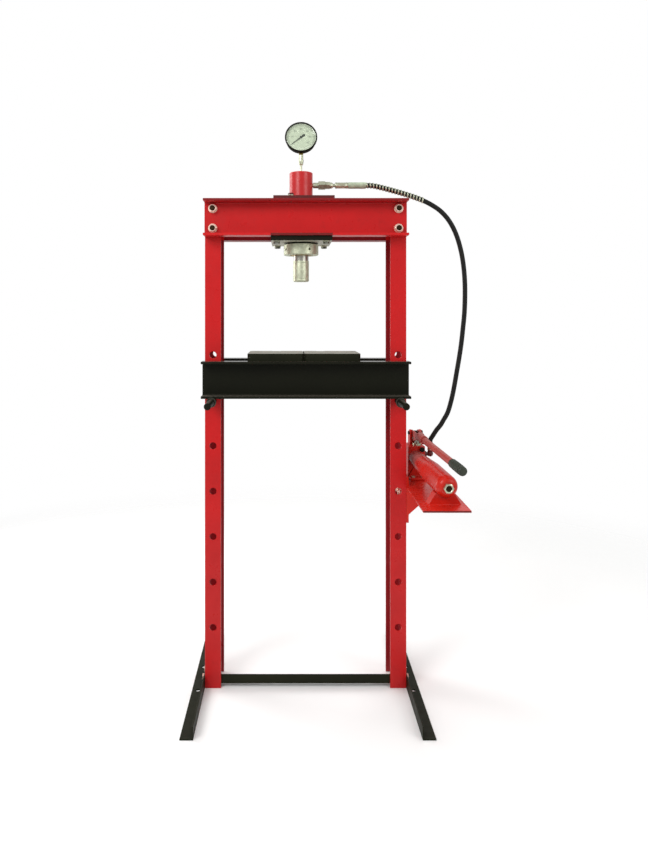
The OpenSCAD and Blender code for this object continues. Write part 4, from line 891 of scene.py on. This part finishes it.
class PRESS_OT_stage(bpy.types.Operator):
    """Camera, lamps, backdrop and floor"""

    bl_idname = "press.stage"
    bl_label = "Stage"

    def execute(self, context):
        stage = context.scene.press_stage
        camera = bpy.data.cameras.new("view")
        camera.sensor_width = 36
        camera.lens = stage.lens
        camera.shift_x, camera.shift_y = stage.shift_x, stage.shift_y
        camera.clip_end = 50
        eye = bpy.data.objects.new("view", camera)
        eye.location = (stage.aside, -stage.distance, stage.height)
        eye.rotation_mode = "ZXY"
        eye.rotation_euler = (TURN / 4, 0, 0)
        eye.rotation_euler.rotate_axis("Z", stage.roll)
        context.scene.collection.objects.link(eye)
        context.scene.camera = eye
        context.scene.view_settings.view_transform = "Standard"
        self.lamps(context)
        self.backdrop(context)
        self.floor(context, stage)
        return {"FINISHED"}

    def lamps(self, context):
        """Large soft lamps round the press: (name, place, aim, width, height, watts, whether
        polished metal mirrors it)."""
        rows = [
            ("key_lamp", (-1.9, -2.6, 3.0), (0, 0, 1.1), 1.6, 1.6, 66, True),
            ("fill_lamp", (2.6, -2.4, 2.2), (0, 0, 1.0), 1.8, 1.8, 31, True),
            ("side_lamp", (-1.9, 1.1, 1.6), (0, 0, 1.2), 1.2, 2.4, 32, True),
            ("back_lamp", (0.9, 2.7, 3.0), (0, 0, 1.0), 2.0, 1.6, 34, False),
            ("top_lamp", (0, 0, 4.0), (0, 0, 0), 2.4, 2.4, 40, False),
        ]
        for name, place, aim, width, height, watts, mirrored in rows:
            lamp = bpy.data.lights.new(name, "AREA")
            lamp.shape = "RECTANGLE"
            lamp.size, lamp.size_y = width, height
            lamp.energy = watts
            held = bpy.data.objects.new(name, lamp)
            held.visible_glossy = mirrored
            out = np.subtract(place, aim)
            side = np.cross(Z, out) if abs(out[:2]).sum() > 0.01 else X
            held.matrix_world = matrix(placed(place, out, side))
            context.scene.collection.objects.link(held)

    def backdrop(self, context):
        """White world for the eye, a greyer one for reflections and a darker one for soft light."""
        world = bpy.data.worlds.new("studio")
        tree = emptied(world)
        path = add(tree, "LightPath").outputs
        looks = (path["Is Camera Ray"], path["Is Transmission Ray"])
        seen = add(tree, "Math", looks, operation="MAXIMUM")
        soft, mirrored, white = (
            add(tree, "Background", {"Color": (1, 1, 1, 1), "Strength": s}) for s in (0.5, 0.62, 1.0)
        )
        lit = add(tree, "MixShader", (path["Is Glossy Ray"], soft, mirrored))
        add(tree, "OutputWorld", {"Surface": add(tree, "MixShader", (seen, lit, white))})
        context.scene.world = world

    def floor(self, context, stage):
        """Round floor of rings whose radius grows as the square. They run outwards, so that their
        faces are turned over, and the rim stays open."""
        rings, sides = stage.floor_radius * np.linspace(0.05, 1, 24) ** 2, 96
        points, faces = around(rings, 0 * rings, sides, loop=False)
        mesh = mesh_of("floor", (points[:-1], faces[:-sides, ::-1]))
        look = (*stage.floor, 1.0), stage.floor_radius
        mesh.materials.append(material_of("Painted floor", pale_floor, *look))
        board = bpy.data.objects.new("floor", mesh)
        context.scene.collection.objects.link(board)


def hose_route():
    """The hose's points in metres."""
    return np.concatenate([np.multiply(HOSE_ROUTE, MM), [pump_place(*p)[:3, 3] for p in HOSE_FOOT]])


def add_tube_uv(mesh, rows, sides, radius, step):
    """UV map of a swept tube in metres: U along the tube, V round it."""
    index = values(mesh.loops, "vertex_index", kind=np.int32)
    row, col = np.minimum(index // sides, rows - 1), index % sides
    # A face's corner in column 0 belongs to the turn's end where its face starts in the last
    start = values(mesh.polygons, "loop_start", kind=np.int32)
    corners = values(mesh.polygons, "loop_total", kind=np.int32)
    highest = np.repeat(np.maximum.reduceat(col, start), corners)
    col = np.where((col == 0) & (highest == sides - 1), sides, col)
    uv = np.stack([row * step, col * TURN * radius / sides], axis=1)
    mesh.uv_layers.new(name="along").uv.foreach_set("vector", uv.astype(np.float32).ravel())


class PRESS_OT_hose(bpy.types.Operator):
    """Hose with its spring guard, sleeve, crimped ends and fittings"""

    bl_idname = "press.hose"
    bl_label = "Hose"

    def execute(self, context):
        sizes = context.scene.press_hose
        route = hose_route()
        step, sides = 3 * MM, 24
        path = resampled(smooth_path(route, PER_SPAN), step)
        mesh = mesh_of("hose_cover", swept(path, sizes.diameter / 2, sides))
        add_tube_uv(mesh, len(path), sides, sizes.diameter / 2, step)
        hose = add_piece("hose_cover", mesh, "Hose cover", "hose")
        fittings = [self.guard(sizes, route), *self.ends()]
        return {"FINISHED"}

    def guard(self, sizes, route):
        """Flat wire wound round the hose: at length s the wire's middle is at the angle
        turn * s / pitch, and its section is a rounded rectangle across that direction."""
        whole = smooth_path(route, PER_SPAN)
        path = resampled(whole[: PER_SPAN * (GUARDED - 1) + 1], 0.45 * MM)
        along, u, v = path_frames(path)
        s = np.arange(len(path)) * path_length(path) / (len(path) - 1)
        angle = (TURN * s / sizes.pitch)[:, None]
        out = np.cos(angle) * u + np.sin(angle) * v
        thick = sizes.guard / 2 - sizes.diameter / 2 - 0.3 * MM
        middle = sizes.guard / 2 - thick / 2
        w, h = sizes.wire / 2, thick / 2
        section = rounded([(-w, -h), (w, -h), (w, h), (-w, h)], 0.6 * MM)
        points = path[:, None] + section[None, :, :1] * along[:, None]
        points = points + (middle + section[None, :, 1:]) * out[:, None]
        ends = np.stack([points[0].mean(0), points[-1].mean(0)])
        shape = np.concatenate([points.reshape(-1, 3), ends]), capped(len(path), len(section))
        mesh = outward(mesh_of("guard_wire", shape))
        return add_piece("guard_wire", mesh, "Chromated zinc", "spring_guard")

    def ends(self):
        """Port fitting, swivel nut, the crimped ferrules and the sleeve; gives the last two back."""
        zinc = "Chromated zinc"
        low, high = box_of("port_fitting")
        east = placed((0, *(low + high)[1:] / 2), X, Y)
        # Nipple, then a hexagon of 26 mm
        nipple_end = 44 * MM
        nipple = lathe([(0.1, 0), (6, 0), (6, 9), (9.5, 10), (9.5, 26.5), (0.1, 26.5)], 0.4)
        nut = moved(hexagon(26 * MM, high[0] - nipple_end), shifted(east, 0, 0, nipple_end))
        stand_in("port_fitting", joined([moved(nipple, shifted(east, 0, 0, low[0])), nut]), zinc)
        low, high = box_of("swivel_nut")
        length = (high[0] - low[0]) / MM
        collar = [(0.1, 0.5), (10.4, 0.55), (10.4, 0.8), (8.2, 1), (0.1, 1)]
        collar = lathe(np.multiply(collar, (1, length)), 0.6, 60)
        nut = joined([hexagon(22 * MM, 0.62 * length * MM), collar])
        stand_in("swivel_nut", moved(nut, shifted(east, 0, 0, low[0])), zinc)
        # Crimped shells, the upper one with a plain tail out of the swivel nut
        radius, upper_x, tail_x = 10.5 * MM, 101 * MM, 92.5 * MM
        upper = moved(crimped(radius, 44 * MM), shifted(east, 0, 0, upper_x))
        lower = moved(crimped(radius, 22 * MM), pump_place(58, -6, 19))
        tail = moved(lathe([(0.1, 0), (6, 0), (6, 10), (0.1, 10)]), shifted(east, 0, 0, tail_x))
        ferrules = add_piece("hose_ferrule_pieces", joined([upper, lower, tail]), zinc, "hose_ferrules")
        profile = [
            (0.1, 0), (10.2, 0), (10.8, 3), (11, 12), (10.7, 30), (11, 48), (10.8, 57), (9.6, 61),
            (0.1, 61),
        ]  # fmt: skip
        sleeve = moved(lathe(profile, 0.8, 60), shifted(east, 0, 0, box_of("hose_sleeve")[0][0]))
        return ferrules, stand_in("hose_sleeve", sleeve, "Sleeve plastic")


# Thread to its pitch, the head's flats and height, and the washer's diameter and thickness, in mm
BOLTS = {
    16: (2, 24, 10, 30, 3),
    12: (1.75, 18, 7.5, 24, 2.5),
    10: (1.5, 16, 6.4, 20, 2),
    8: (1.25, 13, 5.3, 16, 1.6),
}


def fasteners(node):
    """Bolts, washers and nuts in the places of a node's solids, and for each face 0 if it is a
    bolt's and 1 if not. The solid of a bolt is longer than wide, and its widest points are at its
    head: six corners, or the round washer of a bolt without a nut. A flat solid near its other end
    is its nut and washer."""
    solids = solids_of(node)
    lows, highs = np.array([p.min(0) for p in solids]), np.array([p.max(0) for p in solids])
    sizes, middles = highs - lows, (lows + highs) / 2
    ranked = np.sort(sizes, axis=1)
    parts, kinds = [], []
    for i in np.flatnonzero(ranked[:, 1] < 1.2 * ranked[:, 0]):
        axis = int(sizes[i].argmax())
        across = [k for k in range(3) if k != axis]
        tapped = ranked[i, 1] < 1.05 * ranked[i, 0]
        key = 3 if tapped else 1
        thread = min(BOLTS, key=lambda t: abs(BOLTS[t][key] - ranked[i, 0] / MM))
        pitch, flats, head, wide, thick = np.multiply(BOLTS[thread], MM)
        hole = thread / 2 * MM
        offset = solids[i] - middles[i]
        widest = np.linalg.norm(offset[:, across], axis=1) > 0.9 * ranked[i, 1] / 2
        side = np.sign(offset[widest, axis].mean())
        out, corner = np.eye(3)[axis] * side, np.eye(3)[across[int(sizes[i][across].argmax())]]
        origin = middles[i] + out * (sizes[i][axis] / 2 - head)
        parts.append(moved(hexagon(flats, head, cut_low=False), placed(origin, out, corner)))
        rod = screw(hole * 0.985, pitch, 0, sizes[i][axis] - head)
        parts.append(moved(rod, placed(origin, -out, corner)))
        kinds += [0, 0]
        near_hole = hole + 0.3 * MM
        square = [(near_hole, 0), (wide / 2, 0), (wide / 2, thick), (near_hole, thick)]
        washer = turned(rounded(square, 0.4 * MM), 48)
        if tapped:
            parts.append(moved(washer, placed(origin - out * thick, out, corner)))
            kinds.append(1)
        away = np.abs(middles - middles[i])
        near = (away[:, across].max(axis=1) < 0.5 * MM) & (away[:, axis] < sizes[i][axis])
        for k in np.flatnonzero(near):
            if k != i:
                high = sizes[k][axis]
                low = placed(middles[k] - out * high / 2, out, corner)
                parts.append(moved(hexagon(flats, high - thick, hole), low))
                parts.append(moved(washer, shifted(low, 0, 0, high - thick)))
                kinds += [1, 1]
    return joined(parts), np.repeat(kinds, [len(faces) for _, faces in parts])


class PRESS_OT_frame(bpy.types.Operator):
    """Uprights, feet and the bar between them"""

    bl_idname = "press.frame"
    bl_label = "Frame"

    def execute(self, context):
        edges = context.scene.press_edges
        for node in ("upright_left", "upright_right"):
            softened(node, edges.rolled, "Red gloss enamel")
        for node in ("foot_left", "foot_right", "cross_bar"):
            softened(node, edges.cut, "Olive black enamel")
        # The bar reaches 22 mm in behind the uprights' flanges, and a bead runs up the inner face
        # of its standing leg at each of them
        reach, leg = 22 * MM, 5 * MM
        low, high = box_of("cross_bar")
        y = low[1] + leg + 0.2 * MM
        beads = [
            bead((x, y, low[2] + leg), (x, y, high[2]), 0.8 * edges.weld)
            for x in (low[0] + reach, high[0] - reach)
        ]
        add_piece("cross_bar_welds", joined(beads), "Olive black enamel")
        return {"FINISHED"}


class PRESS_OT_head(bpy.types.Operator):
    """Two head channels and the plates above and below them"""

    bl_idname = "press.head"
    bl_label = "Head"

    def execute(self, context):
        edges = context.scene.press_edges
        for node in ("head_channel_front", "head_channel_rear"):
            softened(node, edges.rolled, "Head enamel")
        softened("top_plate", edges.cut, "Dark red enamel")
        plate = softened("bottom_plate", edges.cut, "Black satin enamel")
        repainted(plate, "Bare plate", -Z)
        return {"FINISHED"}


class PRESS_OT_bed(bpy.types.Operator):
    """Bed channels and spacers, the pins under them and the loose plates on them"""

    bl_idname = "press.bed"
    bl_label = "Bed"

    def execute(self, context):
        edges = context.scene.press_edges
        black = "Black satin enamel"
        for node in ("bed_channel_front", "bed_channel_rear"):
            channel = softened(node, edges.rolled, black)
            top = box_of(node)[1][2]
            repainted(channel, "Rubbed black enamel", Z, band=(top - MM, top + MM))
        softened("bed_spacers", edges.cut, black)
        for node in ("press_plate_left", "press_plate_right"):
            plate = softened(node, 1.6 * edges.cut, "Olive black enamel", steps=3)
            repainted(plate, "Bare plate", Z)
        # The spacers are welded to the channels down both of their outer corners
        thick, off = 12 * MM, 0.5 * MM
        low, high = box_of("bed_spacers")
        beads = []
        for x in (low[0] - off, low[0] + thick + off, high[0] - thick - off, high[0] + off):
            for y in (low[1], high[1]):
                beads.append(bead((x, y, low[2] + 4 * MM), (x, y, high[2] - 4 * MM), edges.weld))
        add_piece("bed_spacer_welds", joined(beads), black, body="bed")
        for side in ("left", "right"):
            self.pin("bed_pin_" + side)
        return {"FINISHED"}

    def pin(self, node):
        """Round bar with bevelled ends, and its washer as a ring at the bed's front."""
        low, high = box_of(node)
        x, _, z = (low + high) / 2
        r, length = 11, (high[1] - low[1]) / MM
        bar = [(0.1, 0), (r - 2, 0), (r, 2), (r, length - 2), (r - 2, length), (0.1, length)]
        bar = lathe(bar, 0.4, 64)
        thick, wide = 3, 16
        back = (box_of("bed_channel_front")[0][1] - low[1]) / MM - 0.3
        ring = [(r + 0.1, back - thick), (wide, back - thick), (wide, back), (r + 0.1, back)]
        shape = moved(joined([bar, lathe(ring, 0.5, 64, loop=True)]), placed((x, low[1], z), Y, X))
        # The washer's dark zinc is a painted shade under the bed's flange
        mesh = stand_in(node, shape, ("Black satin enamel", "Zinc darkened by painted shade")).data
        coat_faces(mesh, np.arange(len(mesh.polygons)) >= len(bar[1]))


class PRESS_OT_cylinder(bpy.types.Operator):
    """Barrel with its ring nut, and the ram with its nose"""

    bl_idname = "press.cylinder"
    bl_label = "Cylinder"

    def execute(self, context):
        edges = context.scene.press_edges
        softened("cylinder_barrel", edges.turned, "Barrel enamel", steps=3, sharp=40)
        softened("ring_nut", edges.turned, "Turned zinc", sharp=35)
        softened("lock_ring", 0.6 * edges.turned, "Black satin enamel", sharp=40)
        softened("gland_bush", 0.6 * edges.turned, "Turned brass", sharp=40)
        low, high = box_of("ram_nose")
        middle = (low + high)[:2] / 2
        # Nose: bevelled foot, two turned grooves, mouth round the rod
        r, top = (high[0] - low[0]) / 2 / MM, (high[2] - low[2]) / MM
        outline = [
            (0.1, 0), (r - 3, 0), (r, 3), (r, 9), (r - 0.6, 9.4), (r - 0.6, 10.6), (r, 11), (r, top - 7),
            (r - 0.6, top - 6.6), (r - 0.6, top - 5.4), (r, top - 5), (r, top), (25.1, top),
            (25.1, 19), (0.1, 19),
        ]  # fmt: skip
        shape = moved(lathe(outline, 0.3, 96), placed((*middle, low[2]), Z, X))
        stand_in("ram_nose", shape, "Turned zinc")
        softened("ram_rod", 0.6 * edges.turned, "Ground steel", sharp=40)
        return {"FINISHED"}


def across_dial(angle):
    """Direction on the gauge's face at an angle from its X."""
    return GAUGE[:3, :3] @ np.array([math.cos(angle), math.sin(angle), 0])


class PRESS_OT_gauge(bpy.types.Operator):
    """Pressure gauge: case, bezel, dial with its scale, pointer, glass and the stem below"""

    bl_idname = "press.gauge"
    bl_label = "Gauge"

    def execute(self, context):
        case = [(0.1, 0), (44, 0), (51, 7), (51, 30), (50.3, 30), (50.3, 8), (43.6, 1.6), (0.1, 1.4)]
        # Rolled bezel: a full round lip that folds over the glass and holds the case below
        bezel = [
            (51.1, 24), (53.6, 24), (54.6, 25.2), (55, 27.5), (54.8, 30.5), (53.6, 33), (51.6, 34),
            (51, 33.6), (50.5, 32.2), (51.1, 31.9),
        ]  # fmt: skip
        glass = [(0.1, 30), (50.9, 30), (50.9, 31.7), (40, 32.4), (20, 33.1), (0.1, 33.4)]
        dial = [(2.6, 24.8), (50.2, 24.8), (50.2, 25.7), (49.8, 26), (2.6, 26)]
        for node, profile, soft, name, loop in (
            ("gauge_case", case, 0.8, "Matt black enamel", False),
            ("gauge_bezel", bezel, 0.5, "Matt black enamel", True),
            ("gauge_lens", glass, 0.2, "Float glass", False),
            ("gauge_dial", dial, 0.2, "Tin dial", True),
        ):
            stand_in(node, moved(lathe(profile, soft, 128, loop), GAUGE), name, sharp=50)
        self.scale_marks(context, context.scene.press_gauge)
        self.needle()
        self.adapter()
        for node, name in (
            ("gauge_socket", "Turned brass"),
            ("gauge_stem", "Chromated zinc"),
            ("bourdon_tube", "Turned brass"),
        ):
            softened(node, 0.4 * MM, name, sharp=40)
        return {"FINISHED"}

    def scale_marks(self, context, scale):
        """Scale from the zero clockwise: a thin arc, nine lines between two numbers and longer ones
        at the numbers, each a flat box, and the numbers themselves."""
        face = shifted(GAUGE, 0, 0, 26.02 * MM)
        thick = 0.12 * MM
        count = scale.steps * 10 + 1
        parts = []
        for i in range(count):
            out = across_dial(scale.start - scale.sweep * i / (count - 1))
            long, wide = (8, 0.8) if i % 10 == 0 else (6, 0.5) if i % 5 == 0 else (4, 0.3)
            box = np.multiply([(0, -wide / 2), (long, -wide / 2), (long, wide / 2), (0, wide / 2)], MM)
            at = placed(face[:3, 3] + out * (45 - long) * MM, GAUGE[:3, 2], out)
            parts.append(moved(prism(box, 0, thick), at))
        # Arc round the marks
        a = scale.start - scale.sweep * np.linspace(0, 1, 161)
        arc = np.stack([np.cos(a), np.sin(a), 0 * a], axis=1) * 45.2 * MM + thick / 2 * Z
        parts.append(swept(carried(arc, face), 0.25 * MM, 4, GAUGE[:3, 2]))
        add_piece("gauge_scale", joined(parts), "Scale ink")
        lift = 0.06 * MM
        for i in range(scale.steps + 1):
            text = bpy.data.curves.new("number", "FONT")
            text.body = str(i * scale.step)
            text.size = 9.5 * MM
            text.align_x, text.align_y = "CENTER", "CENTER"
            text.extrude = lift
            held = bpy.data.objects.new("number", text)
            context.scene.collection.objects.link(held)
            view = context.evaluated_depsgraph_get()
            mesh = bpy.data.meshes.new_from_object(held.evaluated_get(view), depsgraph=view)
            bpy.data.objects.remove(held)
            at = shifted(face, 0, 0, lift)
            at[:3, 3] += 30 * MM * across_dial(scale.start - scale.sweep * i / scale.steps)
            mesh.transform(matrix(at))
            add_piece(f"gauge_number_{i}", mesh, "Scale ink")

    def needle(self):
        """Blade that tapers to its tip and widens to a spade behind a round hub, at zero."""
        at = placed(shifted(GAUGE, 0, 0, 27 * MM)[:3, 3], GAUGE[:3, 2], across_dial(math.radians(219)))
        edge = [
            (-15.5, -2.2), (-12, -4.2), (-8, -3.2), (-6, -1.5), (0, -1.8), (38, -0.6), (40, 0),
            (38, 0.6), (0, 1.8), (-6, 1.5), (-8, 3.2), (-12, 4.2), (-15.5, 2.2),
        ]  # fmt: skip
        blade = prism(rounded(np.multiply(edge, MM), 0.5 * MM), 0, 1 * MM)
        hub = lathe([(0.1, -4), (1.4, -4), (1.4, 0), (4, 0), (4, 1.4), (3, 2), (0.1, 2.2)], 0.2)
        stand_in("gauge_pointer", moved(joined([blade, hub]), at), "Dial ink")

    def adapter(self):
        """Union under the gauge: two cones that meet in a ring at mid-height, its top cut square to
        the leaning gauge."""
        low, high = box_of("gauge_adapter")
        profile = [
            (2.5, 0), (6, 0), (6.8, 1), (8.5, 13), (8.5, 17.5), (7.8, 18), (7.2, 24), (7.2, 34), (2.5, 34),
        ]  # fmt: skip
        foot = (*(low + high)[:2] / 2, low[2])
        points, faces = moved(lathe(profile, 0.4, 64, loop=True), placed(foot, Z, X))
        # Points above the slanting cut drop to it
        face = shifted(GAUGE, 0, -60.5 * MM, 0)
        above = (points - face[:3, 3]) @ face[:3, 1]
        points[:, 2] -= np.clip(above + 0.1 * MM, 0, None) / face[2, 1]
        stand_in("gauge_adapter", (points, faces), "Chromated zinc")


class PRESS_OT_pump(bpy.types.Operator):
    """Bracket, pump head, neck, reservoir, saddle, filler plug, plunger, valve and outlet"""

    bl_idname = "press.pump"
    bl_label = "Pump"

    def execute(self, context):
        edges = context.scene.press_edges
        red = "Pump enamel"
        bracket = softened("pump_bracket", edges.cut, red)
        # The rims of the bracket's shelf, in dark red: painted shade
        repainted(bracket, "Dark red enamel", -Y, X, band=(658 * MM, 668 * MM))
        softened("pump_head", edges.cast, red, steps=3)
        softened("reservoir_saddle", edges.cut, red)
        self.neck()
        self.reservoir()
        self.plug()
        self.valve()
        self.outlet()
        softened("plunger", 0.6 * edges.turned, "Ground steel", sharp=40)
        softened("plunger_gland", edges.turned, "Chromated zinc", sharp=40)
        self.welds(edges.weld)
        return {"FINISHED"}

    def neck(self):
        """Plain tube from the head to the reservoir."""
        tube = lathe([(16, 0), (22, 0), (22, 60), (16, 60)], 0.8, 96, loop=True)
        # The neck's pale red is a painted sheen
        stand_in("pump_neck", moved(tube, pump_ahead(y=-22)), "Thin worn enamel")

    def reservoir(self):
        """Bottle: collar, smooth shoulder, straight body and a domed end with a boss."""
        at = pump_ahead(y=-68)
        end = 334
        dome = [(17 + 17 * math.cos(t), end - 24 + 24 * math.sin(t)) for t in np.linspace(0, TURN / 4, 10)]
        profile = [
            (22.1, 0), (25, 0), (25, 13), (26, 15.5), (28.6, 62), (28.8, 62.5), (30, 90), (33, 140),
            (34, 160), *dome, (10.1, end), (10.1, end - 3), (17, end - 3), (31, end - 24), (31, 160),
            (24, 18), (22.1, 16),
        ]  # fmt: skip
        soft = [0.4, 1.2, 1, 2, 0.2, 0.2, 40, 40, 12] + [2] * len(dome) + [0.3] * 7
        shape = moved(lathe(profile, soft, 128, loop=True, steps=4), at)
        mesh = stand_in("reservoir", shape, ("Thin worn enamel", "Pump enamel"), sharp=25).data
        # Pale red, a painted sheen, up to the wider part of the bottle
        along = (values(mesh.polygons, "center", 3) - at[:3, 3]) @ at[:3, 2]
        coat_faces(mesh, along > 62 * MM)

    def plug(self):
        """Filler plug: hexagon with a round recess, whose dark floor is a painted shade."""
        at = pump_ahead(y=-402)
        shank = lathe([(0.1, -6), (9.9, -6), (9.9, 0.5), (0.1, 0.5)])
        shape = moved(joined([hexagon(27 * MM, 9 * MM, 9 * MM, cut_low=False), shank]), at)
        stand_in("vent_screw", shape, "Chromated zinc")
        # Dark floor of the recess, a painted shade, and the ring that is pressed into its mouth
        floor = moved(lathe([(0.1, 0.6), (8.9, 0.6), (8.9, 5), (3, 5.2), (0.1, 5.2)], 0.3), at)
        add_piece("vent_recess", floor, "Dark oil", body="vent")

    def valve(self):
        """Release screw with a fluted knob: eight flutes, shallower at the knob's bevels."""
        flute = np.clip(np.cos(8 * np.arange(96) * TURN / 96) - 0.3, 0, None)
        z = np.array([8, 8, 8.8, 10, 14, 15.2, 16, 16]) * MM
        r = np.array([4, 7.6, 8.4, 8.5, 8.5, 8.3, 7.3, 3]) * MM
        deep = np.array([0, 0.6, 1, 1.2, 1.2, 1, 0.6, 0]) * MM
        knob = around(r[:, None] - deep[:, None] * flute, z, 96, loop=False)
        stem = lathe([(0.1, -9), (4, -9), (4, 8.5), (0.1, 8.5)])
        shape = moved(joined([knob, stem]), pump_ahead(22, -22, 27))
        stand_in("release_valve", shape, "Black satin enamel")

    def outlet(self):
        """Nipple, hexagon, forged elbow and upright spigot at the pump's side."""
        at = placed(pump_place(0, -6, 6)[:3, 3], PUMP[:3, 0], PUMP[:3, 1])
        nipple = lathe([(0.1, 25), (6, 25), (6, 58), (0.1, 58)])
        nut = moved(hexagon(18 * MM, 9 * MM), shifted(at, 0, 0, 35 * MM))
        # Elbow's body: a quarter bend whose radius swells from the nipple to the spigot
        t = np.linspace(0, 1, 24)
        turn = t * TURN / 4
        path = np.stack([49 + 9 * np.sin(turn), -6 + 0 * t, 15 - 9 * np.cos(turn)], axis=1) * MM
        bend = swept(carried(path, PUMP), (8.4 + 1.2 * np.sin(t * TURN / 2)) * MM, 40, PUMP[:3, 1])
        ball_at = pump_place(58, -6, 6)
        b = np.linspace(-1, 1, 21)[1:-1] * TURN / 4
        ball = around(9.9 * MM * np.cos(b), 9.9 * MM * np.sin(b), 48, loop=False)
        spigot = lathe([(0.1, 2), (9, 2), (9, 12.4), (8, 13), (0.1, 13)], 0.4)
        shape = joined([moved(nipple, at), nut, bend, moved(ball, ball_at), moved(spigot, ball_at)])
        stand_in("outlet_elbow", shape, "Dark red enamel")

    def welds(self, weld):
        """Beads under the shelf along the gussets, down the back plate, round the neck and round
        the saddle's foot."""
        # In mm: the back plate's face, the shelf's underside and its top
        plate, under, over = 340.5, 660.6, 667.6
        rows = []
        for side in (-1, 1):
            # Both faces of a gusset
            for y in (side * 54, side * 48):
                rows.append((plate + 2, y, under, 430, y, under, 0.8))
                rows.append((plate + 0.3, y, 578, plate + 0.3, y, 657, 0.8))
        rows.append((plate + 0.3, -58, over, plate + 0.3, 58, over, 1))
        parts = [bead(np.multiply(row[:3], MM), np.multiply(row[3:6], MM), row[6] * weld) for row in rows]
        foot = foot_of("reservoir_saddle")
        parts += [bead(corner, foot[i - 1], 0.8 * weld) for i, corner in enumerate(foot)]
        parts.append(moved(ring_bead(22.3 * MM, 22.5 * MM, weld), pump_ahead()))
        parts.append(moved(ring_bead(22.6 * MM, 67.8 * MM, 0.7 * weld), pump_ahead()))
        add_piece("pump_welds", joined(parts), "Pump enamel")


class PRESS_OT_lever(bpy.types.Operator):
    """Lever bar in its fork, with the grip and the pins"""

    bl_idname = "press.lever"
    bl_label = "Lever"

    def execute(self, context):
        edges = context.scene.press_edges
        # The fork and the bar are a pale red, a painted sheen
        softened("lever_fork", edges.cut, "Thin worn enamel", steps=3)
        ahead = pump_ahead(11, 0, 74)
        bar = lathe([(0.1, 38.3), (10, 38.3), (11, 39.3), (11, 480), (10, 481), (0.1, 481)], 0.3, 64)
        stand_in("lever_bar", moved(bar, ahead), "Thin worn enamel")
        softened("lever_grip", 1.2 * MM, "Grip rubber", steps=3)
        softened("pivot_pin", edges.turned, "Black satin enamel", sharp=40)
        softened("plunger_pin", 0.5 * edges.turned, "Ground steel", sharp=40)
        # Grip's moulded ribs: eight low rings round it
        ribs = [moved(ring_rib(13.4 * MM, (430 + 7 * i) * MM, 1.3 * MM), ahead) for i in range(8)]
        add_piece("grip_ribs", joined(ribs), "Grip rubber", body="lever")
        return {"FINISHED"}


class PRESS_OT_fasteners(bpy.types.Operator):
    """Bolts, washers and nuts with their threads"""

    bl_idname = "press.fasteners"
    bl_label = "Fasteners"

    def execute(self, context):
        painted = "Dark red enamel"
        coats = {
            "head_bolt_sets": ("Blackened steel", "Bright zinc"),
            "m12_bolt_sets": ("Bright zinc", "Bright zinc"),
            "plate_bolt_sets": ("Tarnished zinc", "Chromated zinc", painted),
            "pump_bolt_sets": ("Chromated zinc", "Chromated zinc"),
        }
        for node, coat in coats.items():
            shape, kinds = fasteners(node)
            mesh = stand_in(node, shape, coat, sharp=25).data
            if painted in coat:
                # The bolts that stand on the head are painted with it
                on_top = values(mesh.polygons, "center", 3)[:, 2] > box_of("head_channel_front")[1][2]
                kinds = np.where(on_top & (kinds == 0), coat.index(painted), kinds)
            coat_faces(mesh, kinds)
        return {"FINISHED"}


class PRESS_OT_inside(bpy.types.Operator):
    """Finishes of the pieces inside the cylinder"""

    bl_idname = "press.inside"
    bl_label = "Inside"

    def execute(self, context):
        finishes = {"piston": "Ground steel", "piston_seal": "Seal rubber", "return_spring": "Dark oil"}
        for node, name in finishes.items():
            held = frame["nodes"][node]
            held.data.materials.clear()
            held.data.materials.append(finish(name))
        return {"FINISHED"}


STEPS = {
    "stage": PRESS_OT_stage,
    "hose": PRESS_OT_hose,
    "frame": PRESS_OT_frame,
    "head": PRESS_OT_head,
    "bed": PRESS_OT_bed,
    "cylinder": PRESS_OT_cylinder,
    "gauge": PRESS_OT_gauge,
    "pump": PRESS_OT_pump,
    "lever": PRESS_OT_lever,
    "fasteners": PRESS_OT_fasteners,
    "inside": PRESS_OT_inside,
}


class PRESS_PT_pieces(bpy.types.Panel):
    """The operators in their order, above the sizes and colours they read"""

    bl_idname = "PRESS_PT_pieces"
    bl_label = "Hydraulic press"
    bl_space_type = "VIEW_3D"
    bl_region_type = "UI"
    bl_category = "Press"

    def draw(self, context):
        column = self.layout.column(align=True)
        for step in STEPS:
            column.operator("press." + step)
        for group, kind in SETTINGS.items():
            box = self.layout.box()
            for key in kind.__annotations__:
                box.prop(getattr(context.scene, group), key)


CLASSES = (*SETTINGS.values(), *STEPS.values(), PRESS_PT_pieces)


def register():
    """Registers the classes and hangs the settings on the scene."""
    for one in CLASSES:
        bpy.utils.register_class(one)
    for name, kind in SETTINGS.items():
        setattr(bpy.types.Scene, name, bpy.props.PointerProperty(type=kind))


def unregister():
    """Takes the settings and the classes away again."""
    for name in SETTINGS:
        delattr(bpy.types.Scene, name)
    for one in reversed(CLASSES):
        bpy.utils.unregister_class(one)


def main():
    """Runs every operator in its order."""
    register()
    for step in STEPS:
        getattr(bpy.ops.press, step)()


if __name__ == "__main__":
    main()
